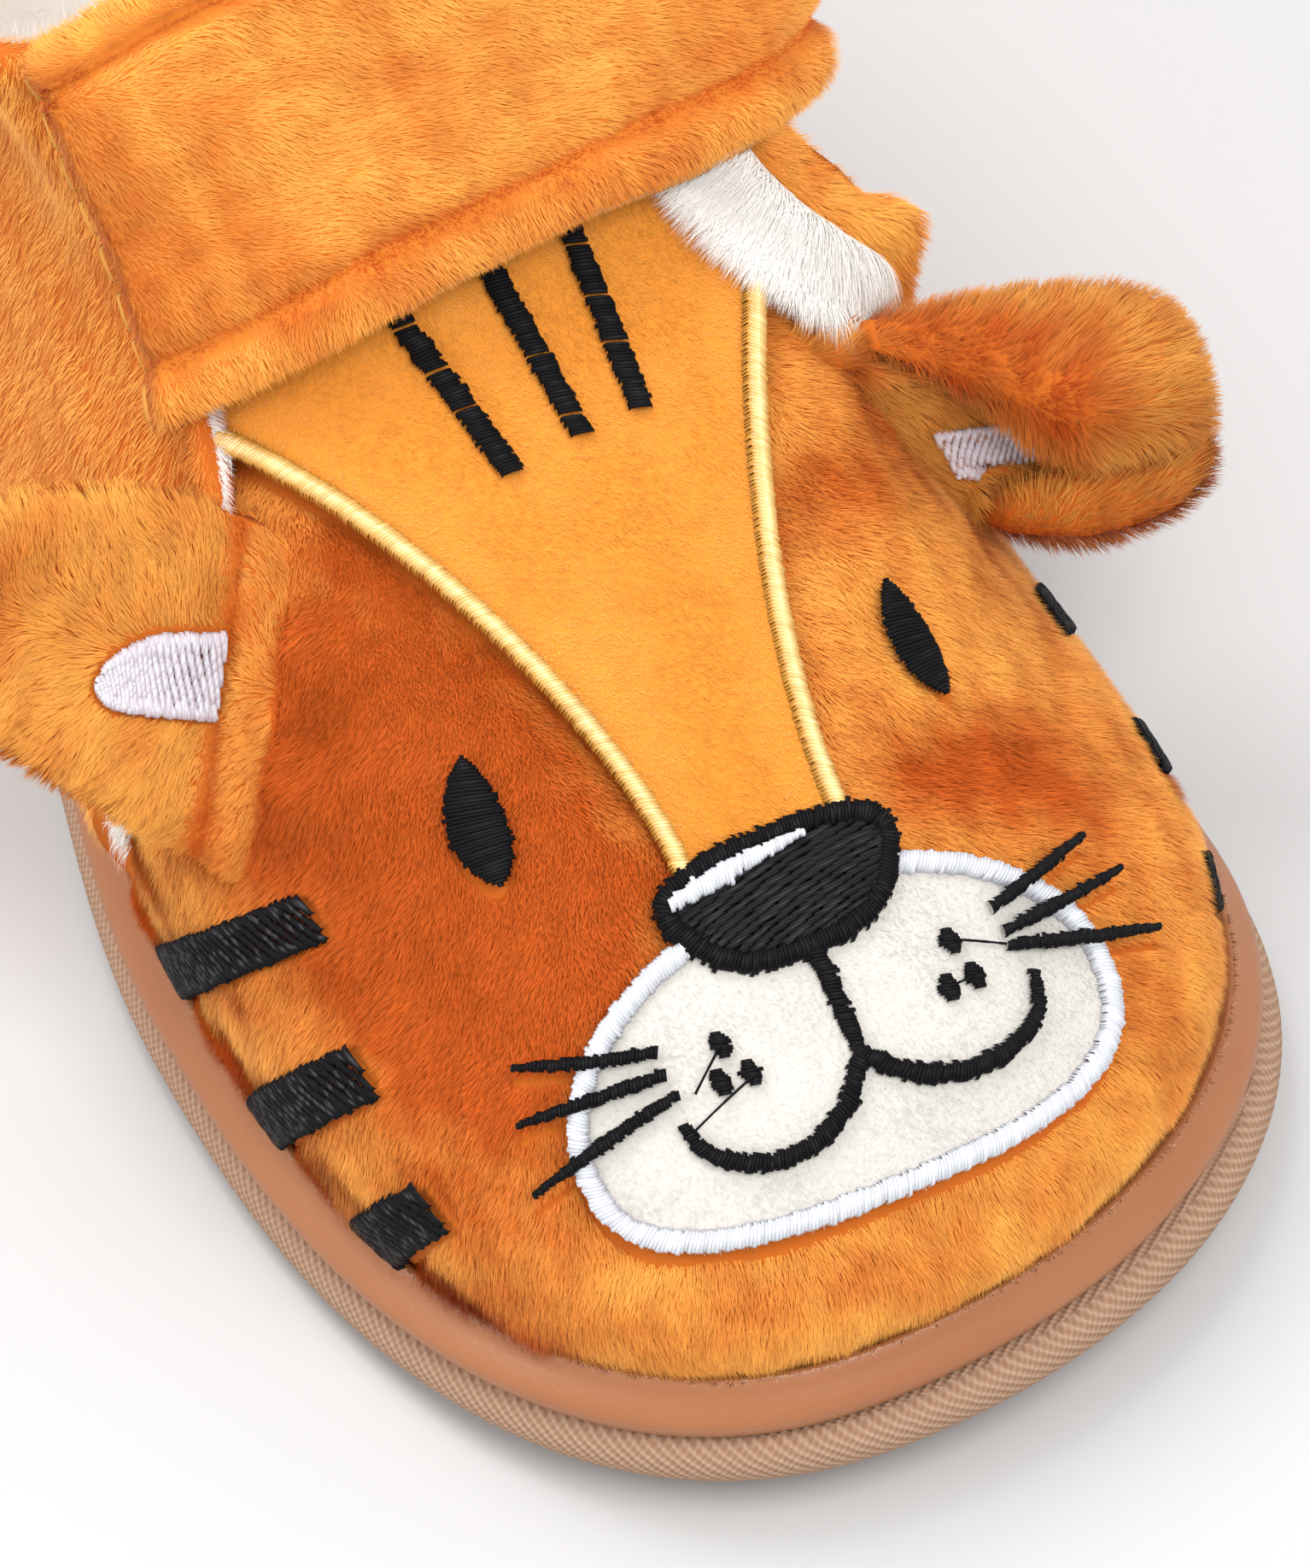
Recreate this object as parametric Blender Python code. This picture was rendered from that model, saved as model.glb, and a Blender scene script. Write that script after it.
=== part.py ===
"""Animal slipper for a child's left foot: a plush bootie with a big-cat face on the toe.

Metres, +Z up. The toe points to -Y and the wearer's left (lateral) side is +X.
The origin is on the floor, under the middle of the outsole.
Tables are in millimetres; MM turns them into metres.
"""

import functools
import math
from collections import namedtuple

import bmesh
import bpy
import numpy as np
from mathutils import Vector
from mathutils.bvhtree import BVHTree

MM = 0.001
SHARP_ANGLE = math.radians(50.0)
GAP = 0.3 * MM
LATERAL = 1
MEDIAL = -1

# Sole: a textile-faced outsole below a midsole wrapped in smooth sheet
OUTSOLE_THICK = 6.0 * MM
MIDSOLE_THICK = 5.0 * MM
MIDSOLE_BASE = OUTSOLE_THICK + GAP
SOLE_TOP = MIDSOLE_BASE + MIDSOLE_THICK
TOE_SPRING = 6.0 * MM
SPRING_START_Y = -42.0 * MM
TOE_TIP_Y = -95.0 * MM

# Upper: plush wall, with the quarter lapped over the vamp and a slit on each side of the tongue
WALL = 3.0 * MM
QUARTER_STEP = 2.5 * MM
STEP_FULL_LEVEL = 2.0
COLLAR_ROUND = 0.9 * MM
SLIT_LEVEL = 5.0

# The quarter's lateral front edge stands off the foot: how far, at which level, and how soon it lies back
FLARE = 6.5 * MM
FLARE_LEVEL = 5.4
FLARE_RISE = 1.3
FLARE_BEHIND = 30.0 * MM
FLARE_AHEAD = 12.0 * MM

# Outline of one level in plan: each side runs from the toe tip to its widest point, along a flank and
# round the heel
Outline = namedtuple("Outline", "toe_y heel_y tip_x lateral medial lateral_y medial_y heel_half")
FRONT_POWER = {LATERAL: 2.05, MEDIAL: 2.35}
HEEL_POWER = 2.15
HEEL_X = 1.0
HEEL_REACH = 1.05
WAIST = {LATERAL: 1.0, MEDIAL: 2.5}
WAIST_FLANK = 90.0

OUTSOLE_OUTLINE = Outline(-94.5, 93.0, -1.0, 47.0, 42.3, -55.0, -30.0, 32.0)
MIDSOLE_OUTLINE = Outline(-93.0, 91.5, -3.0, 46.0, 42.3, -54.0, -30.0, 31.5)

# Side of each sole piece: height above its base, and how far the outline is let out
SideStep = namedtuple("SideStep", "name height out")
OUTSOLE_SIDE = (
    SideStep("tread edge", 0.0, -2.2),
    SideStep("lower roll", 1.2, -0.4),
    SideStep("belly", 3.2, 0.3),
    SideStep("upper roll", 5.0, -0.3),
    SideStep("groove", 6.0, -1.8),
)
MIDSOLE_SIDE = (
    SideStep("groove", 0.0, -1.8),
    SideStep("lower roll", 0.9, -0.4),
    SideStep("belly", 2.4, 0.0),
    SideStep("shoulder", 4.0, -0.9),
    SideStep("feather", 5.0, -2.4),
)
INSOLE_SIDE = (
    SideStep("underside", 0.0, -4.6),
    SideStep("lower edge", 0.7, -4.0),
    SideStep("upper edge", 2.2, -4.0),
    SideStep("footbed", 3.0, -4.9),
)

# Levels of the upper from the sole to the collar; heights are above the sole's top, and the last four columns
# are the run of the vamp from the toe to its rear edge and the slit behind that edge; above the drop level a
# level falls off quickly behind the tongue
Level = namedtuple(
    "Level",
    "name outline front_h back_h vamp_lateral vamp_medial slit_lateral slit_medial",
)
LEVELS = (
    Level("feather", Outline(-90.0, 88.0, -3.0, 42.5, 40.0, -53.0, -31.0, 29.0), 0.3, 0.3, 99, 91, 1.0, 1.0),
    Level("wall", Outline(-91.0, 90.0, -2.5, 43.4, 41.2, -52.0, -31.0, 31.0), 5.5, 8.0, 100, 92, 1.0, 1.0),
    Level("roll", Outline(-88.0, 90.5, -1.5, 41.8, 41.2, -50.0, -30.0, 31.5), 11.5, 16.0, 96, 90, 1.0, 1.0),
    Level("toe box", Outline(-82.5, 90.0, -0.5, 38.4, 39.6, -44.0, -27.0, 31.5), 17.0, 23.5, 88, 85, 1.0, 1.0),
    Level("muzzle", Outline(-74.5, 89.5, 0.0, 33.8, 36.0, -34.0, -22.0, 31.0), 23.5, 30.5, 76, 74, 1.2, 1.2),
    Level("brow", Outline(-55.0, 88.5, 0.3, 29.2, 31.3, -18.0, -10.0, 30.5), 35.0, 38.0, 55, 55, 3.0, 1.8),
    Level("forehead", Outline(-34.0, 87.5, 0.6, 28.4, 27.5, -2.0, 2.0, 30.5), 43.0, 42.0, 33, 37.5, 7.0, 2.5),
    Level("instep", Outline(-13.0, 86.5, 1.0, 32.5, 26.5, 12.0, 14.0, 30.5), 49.5, 48.5, 21, 29, 7.5, 3.0),
    Level("throat", Outline(1.0, 85.5, 1.5, 34.0, 28.5, 22.0, 20.0, 31.5), 61.5, 54.5, 19, 22.5, 7.0, 3.0),
    Level("collar", Outline(12.0, 84.5, 2.0, 34.8, 31.3, 29.0, 26.0, 32.6), 76.5, 61.0, 18, 19, 6.0, 3.0),
)
TOP = len(LEVELS) - 1
DROP_LEVEL = 7.0
DROP_POWER = 0.45
RING_STEPS = 90
LEVEL_STEP = 0.5
VAMP_STRIPS = 24
QUARTER_STRIPS = 32
SOLE_STRIPS = 40
HULL_LOW_LEVEL = 1.0
HULL_LEVEL_STEP = 0.2
HULL_STRIPS = 140
HULL_RISE = 14.0 * MM

# Strap: rays swept round an axis inside the ankle, in planes square to the instep line, in degrees from the
# top; the medial end is sewn on at an angle, and the lateral end is cut square at a reach from the top
STRAP_FRONT_LEVEL = 7.22
STRAP_REAR_LEVEL = 8.88
STRAP_SKEW = 0.14
STRAP_MEDIAL_END = -57.0
STRAP_LATERAL_END = 112.0
STRAP_DEGREES = 2.5
STRAP_LATERAL_REACH = 57.0 * MM
STRAP_CORNER = 7.0 * MM
STRAP_CORNER_POWER = 8
STRAP_GAP = 0.8 * MM
STRAP_THICK = 4.5 * MM
STRAP_EDGE_THICK = 2.8 * MM
STRAP_AXIS_DEPTH = 28.0 * MM
STRAP_ROWS = 8
STRAP_COLUMNS = 26

# Ears: seat on the vamp (shares of its run, levels), then a lobe along a direction, in millimetres
Ear = namedtuple(
    "Ear",
    "name side u_front u_back level_low level_high along length half_width thick cup lean lift",
)
EARS = (
    Ear("ear_lateral", LATERAL, 0.84, 0.93, 3.0, 6.05, (22.0, -4.0, 1.0), 22.5, 15.0, 11.0, 6.0, 3.0, 0.0),
    Ear("ear_medial", MEDIAL, 0.84, 0.91, 2.8, 5.95, (-18.0, 11.0, 9.0), 29.0, 14.5, 9.0, -1.0, 0.0, 2.0),
)
EAR_ROWS = (0.0, 0.12, 0.26, 0.42, 0.58, 0.72, 0.84, 0.93, 0.985)
EAR_STRIPS = 10
EAR_ROUND = 3.0
EAR_RIM = 0.07
EAR_SEAT = GAP + 0.1 * MM
EAR_FREED = 0.35
EAR_CURLED = 0.6
EAR_WIDTH_POWER = 4
EAR_LENGTH_POWER = 5

# White lining fur at the throat slits: locks lie forward over the edge of the vamp
Fur = namedtuple(
    "Fur",
    "name side level_low level_high press_level locks long_reach short_reach root_lift tip_lift",
)
FURS = (
    Fur("fur_lateral", LATERAL, 5.3, 7.4, 6.5, 12, 3.5, 1.0, 4.6, 2.3),
    Fur("fur_medial", MEDIAL, 5.9, 6.7, 6.1, 5, 1.6, 0.5, 3.2, 2.1),
)
FUR_STRIPS = 4
FUR_FALL = 1.5
FUR_FOLLOWS = 0.6
FUR_LOW_REACH = 0.2
FUR_CLEAR = 0.5 * MM
FUR_SEAT = 1.5 * MM
FUR_PRESSED = 2.35 * MM
FUR_PRESS_SPAN = 0.3

# Face: raised cords beside a panel that widens from the nose up to the strap, a muzzle and a nose, in
# millimetres
PANEL_LOW_Y = -57.0
PANEL_HIGH_Y = -9.0
PANEL_LOW_HALF = 7.0
PANEL_WIDENS = 18.0
PANEL_POWER = 1.6
PANEL_TOP_Y = -4.0
PANEL_POINTS = 14
CORD_RADIUS = 1.1
CORD_POINTS = 16
CORD_LOW_Y = -55.5
CORD_TOP_Y = {LATERAL: -17.5, MEDIAL: -11.5}
MUZZLE_CENTRE_Y = -73.5
MUZZLE_HALF_WIDTH = 24.2
MUZZLE_HALF_HEIGHT = 11.9
MUZZLE_POWER = 2.3
NOSE_CENTRE_Y = -62.5
NOSE_HALF_WIDTH = 9.6
NOSE_HALF_HEIGHT = 4.8
NOSE_POWER = 3.0
NOSE_TAPER = 0.28
NOSE_CLEAR = 0.4
OUTLINE_POINTS = 44
OVERLAY_LIFTS = {
    "forehead_panel": (0.3, 1.1),
    "muzzle_patch": (0.3, 1.5),
    "nose_patch": (0.3, 1.9),
}
FACE_SLANT = 0.6
PRISM_LOW = 15.0 * MM
PRISM_HIGH = 90.0 * MM

COLOURS = {
    "outsole": (0.45, 0.24, 0.14, 0.9),
    "midsole": (0.55, 0.21, 0.09, 0.45),
    "insole": (0.92, 0.88, 0.82, 0.95),
    "upper": (0.70, 0.18, 0.02, 0.95),
    "strap": (0.70, 0.18, 0.02, 0.95),
    "ear_lateral": (0.70, 0.18, 0.02, 0.95),
    "ear_medial": (0.70, 0.18, 0.02, 0.95),
    "fur_lateral": (0.94, 0.90, 0.86, 0.95),
    "fur_medial": (0.94, 0.90, 0.86, 0.95),
    "forehead_panel": (0.80, 0.35, 0.03, 0.9),
    "cord_lateral": (0.87, 0.62, 0.20, 0.4),
    "cord_medial": (0.87, 0.62, 0.20, 0.4),
    "muzzle_patch": (0.87, 0.84, 0.79, 0.9),
    "nose_patch": (0.01, 0.01, 0.012, 0.5),
}


def smooth_step(t):
    t = min(max(t, 0.0), 1.0)
    return t * t * (3.0 - 2.0 * t)


def mix(a, b, t):
    return a + (b - a) * t


def unit(vector):
    return vector / np.linalg.norm(vector)


def spring(y):
    """How far the sole curls up off the floor at length y."""
    t = max(0.0, (SPRING_START_Y - y) / (SPRING_START_Y - TOE_TIP_Y))
    return TOE_SPRING * t * t


# Plan outlines

def let_out(outline, out):
    """The same outline, larger by out millimetres all round."""
    return outline._replace(
        toe_y=outline.toe_y - out,
        heel_y=outline.heel_y + out,
        lateral=outline.lateral + out,
        medial=outline.medial + out,
        heel_half=outline.heel_half + out,
    )


def outline_x(outline, side, y):
    """Where one side of an outline lies at length y, in millimetres."""
    widest = outline.lateral if side == LATERAL else outline.medial
    widest_y = outline.lateral_y if side == LATERAL else outline.medial_y
    heel_y = outline.heel_y - HEEL_REACH * outline.heel_half
    if y <= widest_y:
        power = FRONT_POWER[side]
        share = min(1.0, (widest_y - y) / (widest_y - outline.toe_y))
        reach = widest - side * outline.tip_x
        return outline.tip_x + side * reach * (1.0 - share**power) ** (1.0 / power)
    if y <= heel_y:
        flank = heel_y - widest_y
        t = (y - widest_y) / flank
        half = mix(widest, outline.heel_half + side * HEEL_X, smooth_step(t))
        waist = WAIST[side] * min(1.0, flank / WAIST_FLANK)
        return side * (half - waist * math.sin(math.pi * t) ** 2)
    share = min(1.0, (y - heel_y) / (outline.heel_y - heel_y))
    return HEEL_X + side * outline.heel_half * (1.0 - share**HEEL_POWER) ** (1.0 / HEEL_POWER)


def stations(outline, count):
    """Lengths from toe to heel, crowded at both round ends, in millimetres."""
    span = outline.heel_y - outline.toe_y
    return [outline.toe_y + span * (1.0 - math.cos(math.pi * i / count)) / 2.0 for i in range(count + 1)]


# The upper's own surface: a level counts rows of LEVELS, and a run is the distance round it from the toe,
# positive on the lateral side

@functools.lru_cache(maxsize=None)
def level_sizes(level):
    """The sizes of any level, on a smooth curve through the table's rows."""
    rows = [np.array([*row.outline, *row[2:]], dtype=float) for row in LEVELS]
    i = min(int(level), TOP - 1)
    t = level - i
    before, start, end, after = (rows[min(max(k, 0), TOP)] for k in (i - 1, i, i + 1, i + 2))
    start_slope = (end - before) / 2.0
    end_slope = (after - start) / 2.0
    sizes = (
        start * (1.0 + 2.0 * t) * (1.0 - t) ** 2
        + start_slope * t * (1.0 - t) ** 2
        + end * t * t * (3.0 - 2.0 * t)
        + end_slope * t * t * (t - 1.0)
    )
    return Level("", Outline(*sizes[:8]), *sizes[8:])


@functools.lru_cache(maxsize=None)
def half_ring(level, side):
    """Points of one side of a level from toe to heel, and their runs."""
    sizes = level_sizes(level)
    outline = sizes.outline
    power = mix(1.0, DROP_POWER, smooth_step((level - DROP_LEVEL) / (TOP - DROP_LEVEL)))
    points = []
    for y in stations(outline, RING_STEPS):
        share = (y - outline.toe_y) / (outline.heel_y - outline.toe_y)
        height = mix(sizes.front_h, sizes.back_h, share**power) * MM
        points.append((outline_x(outline, side, y) * MM, y * MM, SOLE_TOP + spring(y * MM) + height))
    points = np.array(points)
    steps = np.linalg.norm(np.diff(points, axis=0), axis=1)
    return points, np.concatenate([[0.0], np.cumsum(steps)])


def half_length(level, side):
    return half_ring(level, side)[1][-1]


def ring_point(level, run):
    """The surface point at a run; a run past the heel goes on along the other side."""
    side = LATERAL if run >= 0.0 else MEDIAL
    beyond = abs(run) - half_length(level, side)
    if beyond > 0.0:
        side = -side
        run = half_length(level, side) - beyond
    points, runs = half_ring(level, side)
    return np.array([np.interp(abs(run), runs, points[:, axis]) for axis in range(3)])


NORMAL_RUN = 1.0 * MM
NORMAL_LEVEL = 0.04


def surface(level, run, lift):
    """A point at a height of lift over the upper's surface; near the sole the lift is level."""
    side = LATERAL if run >= 0.0 else MEDIAL
    share = run / half_length(level, side)
    low = max(level - NORMAL_LEVEL, 0.0)
    high = min(level + NORMAL_LEVEL, float(TOP))
    along = ring_point(level, run + NORMAL_RUN) - ring_point(level, run - NORMAL_RUN)
    up = ring_point(high, share * half_length(high, side)) - ring_point(low, share * half_length(low, side))
    normal = unit(np.cross(along, up))
    normal[2] *= smooth_step(level)
    return ring_point(level, run) + lift * unit(normal)


def vamp_run(level, side):
    """The run of the vamp's rear edge."""
    sizes = level_sizes(level)
    return (sizes.vamp_lateral if side == LATERAL else sizes.vamp_medial) * MM


def quarter_run(level, side):
    """The run of the quarter's front edge, past the slit."""
    sizes = level_sizes(level)
    return vamp_run(level, side) + (sizes.slit_lateral if side == LATERAL else sizes.slit_medial) * MM


def flare(level, run):
    """How far the quarter stands off the foot near its lateral front edge."""
    behind = run - quarter_run(level, LATERAL)
    span = FLARE_BEHIND if behind >= 0.0 else FLARE_AHEAD
    rise = smooth_step(1.0 - abs(level - FLARE_LEVEL) / FLARE_RISE)
    return FLARE * rise * smooth_step(1.0 - abs(behind) / span)


def on_vamp(level, share, lift):
    """A point over the vamp, at a share of the run to its lateral (1) or medial (-1) edge."""
    side = LATERAL if share >= 0.0 else MEDIAL
    return surface(level, share * vamp_run(level, side), lift)


def on_quarter(level, share, lift):
    """A point over the quarter: share 0 is the lateral front edge, 1 the heel, 2 the medial front edge."""
    side = LATERAL if share <= 1.0 else MEDIAL
    from_edge = share if share <= 1.0 else 2.0 - share
    run = side * mix(quarter_run(level, side), half_length(level, side), from_edge)
    return surface(level, run, lift + flare(level, run))


# Solids

def material(name):
    red, green, blue, rough = COLOURS[name]
    made = bpy.data.materials.new(name)
    made.use_nodes = True
    shader = made.node_tree.nodes["Principled BSDF"]
    shader.inputs["Base Color"].default_value = (red, green, blue, 1.0)
    shader.inputs["Roughness"].default_value = rough
    shader.inputs["Metallic"].default_value = 0.0
    return made


def add_object(name, shape):
    """Turn a bmesh into a smooth-shaded object with its own material."""
    bmesh.ops.recalc_face_normals(shape, faces=shape.faces)
    mesh = bpy.data.meshes.new(name)
    shape.to_mesh(mesh)
    shape.free()
    mesh.shade_smooth()
    mesh.set_sharp_from_angle(angle=SHARP_ANGLE)
    made = bpy.data.objects.new(name, mesh)
    bpy.context.scene.collection.objects.link(made)
    if name in COLOURS:
        mesh.materials.append(material(name))
    return made


def thick_sheet(outer, inner, closed=False, left_out=()):
    """A closed solid between two grids of points, with some (row, column) cells left out."""
    rows = len(outer)
    columns = len(outer[0])
    shape = bmesh.new()
    skins = [[[shape.verts.new(point) for point in row] for row in grid] for grid in (outer, inner)]
    spans = columns if closed else columns - 1
    cells = [(r, c) for r in range(rows - 1) for c in range(spans) if (r, c) not in left_out]
    rim = set()
    for r, c in cells:
        d = (c + 1) % columns
        loop = [(r, c), (r, d), (r + 1, d), (r + 1, c)]
        shape.faces.new([skins[0][i][j] for i, j in loop])
        shape.faces.new([skins[1][i][j] for i, j in reversed(loop)])
        for start, end in zip(loop, loop[1:] + loop[:1]):
            if (end, start) in rim:
                rim.remove((end, start))
            else:
                rim.add((start, end))
    for (r, c), (i, j) in sorted(rim):
        shape.faces.new([skins[0][i][j], skins[0][r][c], skins[1][r][c], skins[1][i][j]])
    return shape


def sole_plate(name, outline, side_steps, base):
    """A plate that follows the toe spring: stacked outlines, closed by strips from side to side."""
    shape = bmesh.new()
    rings = []
    for step in side_steps:
        stepped = let_out(outline, step.out)
        ring = {LATERAL: [], MEDIAL: []}
        lengths = stations(stepped, SOLE_STRIPS)
        for i, y in enumerate(lengths):
            z = base + step.height * MM + spring(y * MM)
            tip = i in (0, SOLE_STRIPS)
            x = outline_x(stepped, LATERAL, y) * MM
            ring[LATERAL].append(shape.verts.new((x, y * MM, z)))
            x = outline_x(stepped, MEDIAL, y) * MM
            ring[MEDIAL].append(ring[LATERAL][-1] if tip else shape.verts.new((x, y * MM, z)))
        rings.append(ring)
    for lower, upper in zip(rings, rings[1:]):
        for i in range(SOLE_STRIPS):
            right = [lower[LATERAL][i], lower[LATERAL][i + 1], upper[LATERAL][i + 1], upper[LATERAL][i]]
            left = [lower[MEDIAL][i + 1], lower[MEDIAL][i], upper[MEDIAL][i], upper[MEDIAL][i + 1]]
            shape.faces.new(right)
            shape.faces.new(left)
    for ring, order in ((rings[0], -1), (rings[-1], 1)):
        for i in range(SOLE_STRIPS):
            strip = [ring[LATERAL][i], ring[LATERAL][i + 1], ring[MEDIAL][i + 1], ring[MEDIAL][i]]
            corners = list(dict.fromkeys(strip))
            shape.faces.new(corners[::order])
    return add_object(name, shape)


def wall_lift(level, in_quarter, at_edge, outside):
    """How far the wall's outer or inner skin lies over the upper's surface."""
    round_off = COLLAR_ROUND if level >= TOP else 0.0
    step = QUARTER_STEP * smooth_step(level / STEP_FULL_LEVEL) if in_quarter else 0.0
    if outside:
        return step - round_off
    return (0.0 if at_edge else step) - WALL + round_off


def upper_skin(outside):
    """Grid of the wall's outer or inner skin: the vamp from medial to lateral edge, then the quarter."""
    grid = []
    for level in np.arange(0.0, TOP + LEVEL_STEP / 2.0, LEVEL_STEP):
        row = []
        for share in np.linspace(-1.0, 1.0, VAMP_STRIPS + 1):
            row.append(on_vamp(level, share, wall_lift(level, False, False, outside)))
        for share in np.linspace(0.0, 2.0, QUARTER_STRIPS + 1):
            at_edge = share in (0.0, 2.0)
            row.append(on_quarter(level, share, wall_lift(level, True, at_edge, outside)))
        grid.append(row)
    return grid


def make_upper():
    outer = upper_skin(True)
    inner = upper_skin(False)
    seams = (VAMP_STRIPS, VAMP_STRIPS + 1 + QUARTER_STRIPS)
    first_open = int(SLIT_LEVEL / LEVEL_STEP)
    slits = {(r, c) for r in range(first_open, len(outer) - 1) for c in seams}
    return add_object("upper", thick_sheet(outer, inner, closed=True, left_out=slits))


def quarter_hull():
    """A guide surface at the quarter's outer level all round, over the tongue too, and on past the collar."""
    turns = np.linspace(-1.0, 1.0, HULL_STRIPS + 1)[:-1]
    rows = []
    for level in np.arange(HULL_LOW_LEVEL, TOP + HULL_LEVEL_STEP / 2.0, HULL_LEVEL_STEP):
        row = []
        for turn in turns:
            side = LATERAL if turn >= 0.0 else MEDIAL
            run = turn * half_length(level, side)
            row.append(surface(level, run, QUARTER_STEP + flare(level, run)))
        rows.append(row)
    rows.append([edge + HULL_RISE * unit(edge - below) for below, edge in zip(rows[-2], rows[-1])])
    count = len(turns)
    faces = []
    for r in range(len(rows) - 1):
        for c in range(count):
            d = (c + 1) % count
            faces.append((r * count + c, r * count + d, (r + 1) * count + d, (r + 1) * count + c))
    return BVHTree.FromPolygons([Vector(point) for row in rows for point in row], faces)


def sweep_ray(degrees, upward, across):
    angle = math.radians(degrees)
    return math.cos(angle) * upward + math.sin(angle) * across


def make_strap():
    hull = quarter_hull()
    front = ring_point(STRAP_FRONT_LEVEL, 0.0)
    rear = ring_point(STRAP_REAR_LEVEL, 0.0)
    front[0] = 0.0
    rear[0] = 0.0
    across = unit(np.array([1.0, STRAP_SKEW, 0.0]))
    upward = unit(np.cross(across, rear - front))
    sweep = np.arange(STRAP_MEDIAL_END, STRAP_LATERAL_END, STRAP_DEGREES)
    inner = []
    outer = []
    for i in range(STRAP_ROWS + 1):
        share = i / STRAP_ROWS
        at_edge = i in (0, STRAP_ROWS)
        corner = STRAP_CORNER * (2.0 * share - 1.0) ** STRAP_CORNER_POWER
        axis = mix(front, rear, share) - STRAP_AXIS_DEPTH * upward
        rays = [sweep_ray(degrees, upward, across) for degrees in sweep]
        hits = [hull.ray_cast(Vector(axis), Vector(ray))[0] for ray in rays]
        steps = [(end - start).length for start, end in zip(hits, hits[1:])]
        runs = np.concatenate([[0.0], np.cumsum(steps)])
        lateral_end = np.interp(0.0, sweep, runs) + STRAP_LATERAL_REACH - corner
        inner_row = []
        outer_row = []
        for k in range(STRAP_COLUMNS + 1):
            degrees = np.interp(lateral_end * k / STRAP_COLUMNS, runs, sweep)
            ray = sweep_ray(degrees, upward, across)
            hit = np.array(hull.ray_cast(Vector(axis), Vector(ray))[0])
            thick = STRAP_EDGE_THICK if at_edge or k in (0, STRAP_COLUMNS) else STRAP_THICK
            inner_row.append(hit + ray * STRAP_GAP)
            outer_row.append(hit + ray * (STRAP_GAP + thick))
        inner.append(inner_row)
        outer.append(outer_row)
    return add_object("strap", thick_sheet(outer, inner))


def make_ear(ear):
    """A stuffed lobe: its two faces start on the vamp and close at a thin rim."""
    levels = np.linspace(ear.level_low, ear.level_high, EAR_STRIPS + 1)
    front_seat = [on_vamp(level, ear.side * ear.u_front, EAR_SEAT) for level in levels]
    back_seat = [on_vamp(level, ear.side * ear.u_back, EAR_SEAT) for level in levels]
    middle = (np.mean(front_seat, axis=0) + np.mean(back_seat, axis=0)) / 2.0
    along = unit(np.array(ear.along))
    width = unit(front_seat[-1] - front_seat[0])
    facing = unit(np.cross(along, width) * ear.side)
    faces = {1: [], -1: []}
    for s in EAR_ROWS:
        freed = smooth_step(s / EAR_FREED)
        curl = smooth_step(s / EAR_CURLED)
        end_puff = math.sqrt(max(EAR_RIM, 1.0 - s**EAR_LENGTH_POWER))
        half = ear.half_width * MM * (1.0 - s**EAR_ROUND) ** (1.0 / EAR_ROUND)
        centre = middle + along * ear.length * MM * s + width * ear.lift * MM * math.sin(math.pi * s / 2.0)
        for face, seat_line in ((1, front_seat), (-1, back_seat)):
            row = []
            for q, seated in zip(np.linspace(-1.0, 1.0, EAR_STRIPS + 1), seat_line):
                puff = end_puff * math.sqrt(max(EAR_RIM, 1.0 - q**EAR_WIDTH_POWER))
                bow = (ear.cup * q * q + ear.lean * q) * curl * MM
                free = centre + width * half * q + facing * (bow + face * ear.thick * MM * puff / 2.0)
                row.append(mix(seated, free, freed))
            faces[face].append(row)
    return add_object(ear.name, thick_sheet(faces[1], faces[-1]))


def make_fur(fur):
    """A strip rooted at the quarter's edge, with locks of two lengths over the vamp."""
    levels = np.linspace(fur.level_low, fur.level_high, 2 * fur.locks + 1)
    top = []
    bottom = []
    for i, level in enumerate(levels):
        along = i / (2 * fur.locks)
        reach = (fur.long_reach if i % 2 else fur.short_reach) * mix(FUR_LOW_REACH, 1.0, along) * MM
        pressed = smooth_step((level - fur.press_level) / FUR_PRESS_SPAN)
        root = quarter_run(level, fur.side) - FUR_CLEAR
        tip = vamp_run(level, fur.side) - reach
        top_row = []
        bottom_row = []
        for k in range(FUR_STRIPS + 1):
            share = k / FUR_STRIPS
            run = fur.side * mix(root, tip, share)
            root_lift = fur.root_lift * MM + FUR_FOLLOWS * flare(level, run)
            lift = mix(mix(root_lift, fur.tip_lift * MM, share**FUR_FALL), FUR_PRESSED, pressed)
            top_row.append(surface(level, run, lift))
            bottom_row.append(surface(level, run, FUR_SEAT))
        top.append(top_row)
        bottom.append(bottom_row)
    return add_object(fur.name, thick_sheet(top, bottom))


# Face overlays: each is a slice of the space over the vamp, cut out by a prism

def skin_height(skin, x, y):
    """How high the upper's outside lies at a place in plan."""
    return skin.ray_cast(Vector((x, y, PRISM_HIGH)), Vector((0.0, 0.0, -1.0)))[0].z


def panel_half(y):
    """Half width of the forehead panel, from the middle to a cord's centre line."""
    share = max((y - PANEL_LOW_Y) / (PANEL_HIGH_Y - PANEL_LOW_Y), 0.0)
    return PANEL_LOW_HALF + PANEL_WIDENS * share**PANEL_POWER


def panel_outline():
    inset = CORD_RADIUS + NOSE_CLEAR
    lengths = np.linspace(PANEL_LOW_Y + NOSE_CLEAR, PANEL_TOP_Y, PANEL_POINTS)
    right = [(panel_half(y) - inset, y) for y in lengths]
    return right + [(-x, y) for x, y in reversed(right)]


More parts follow.
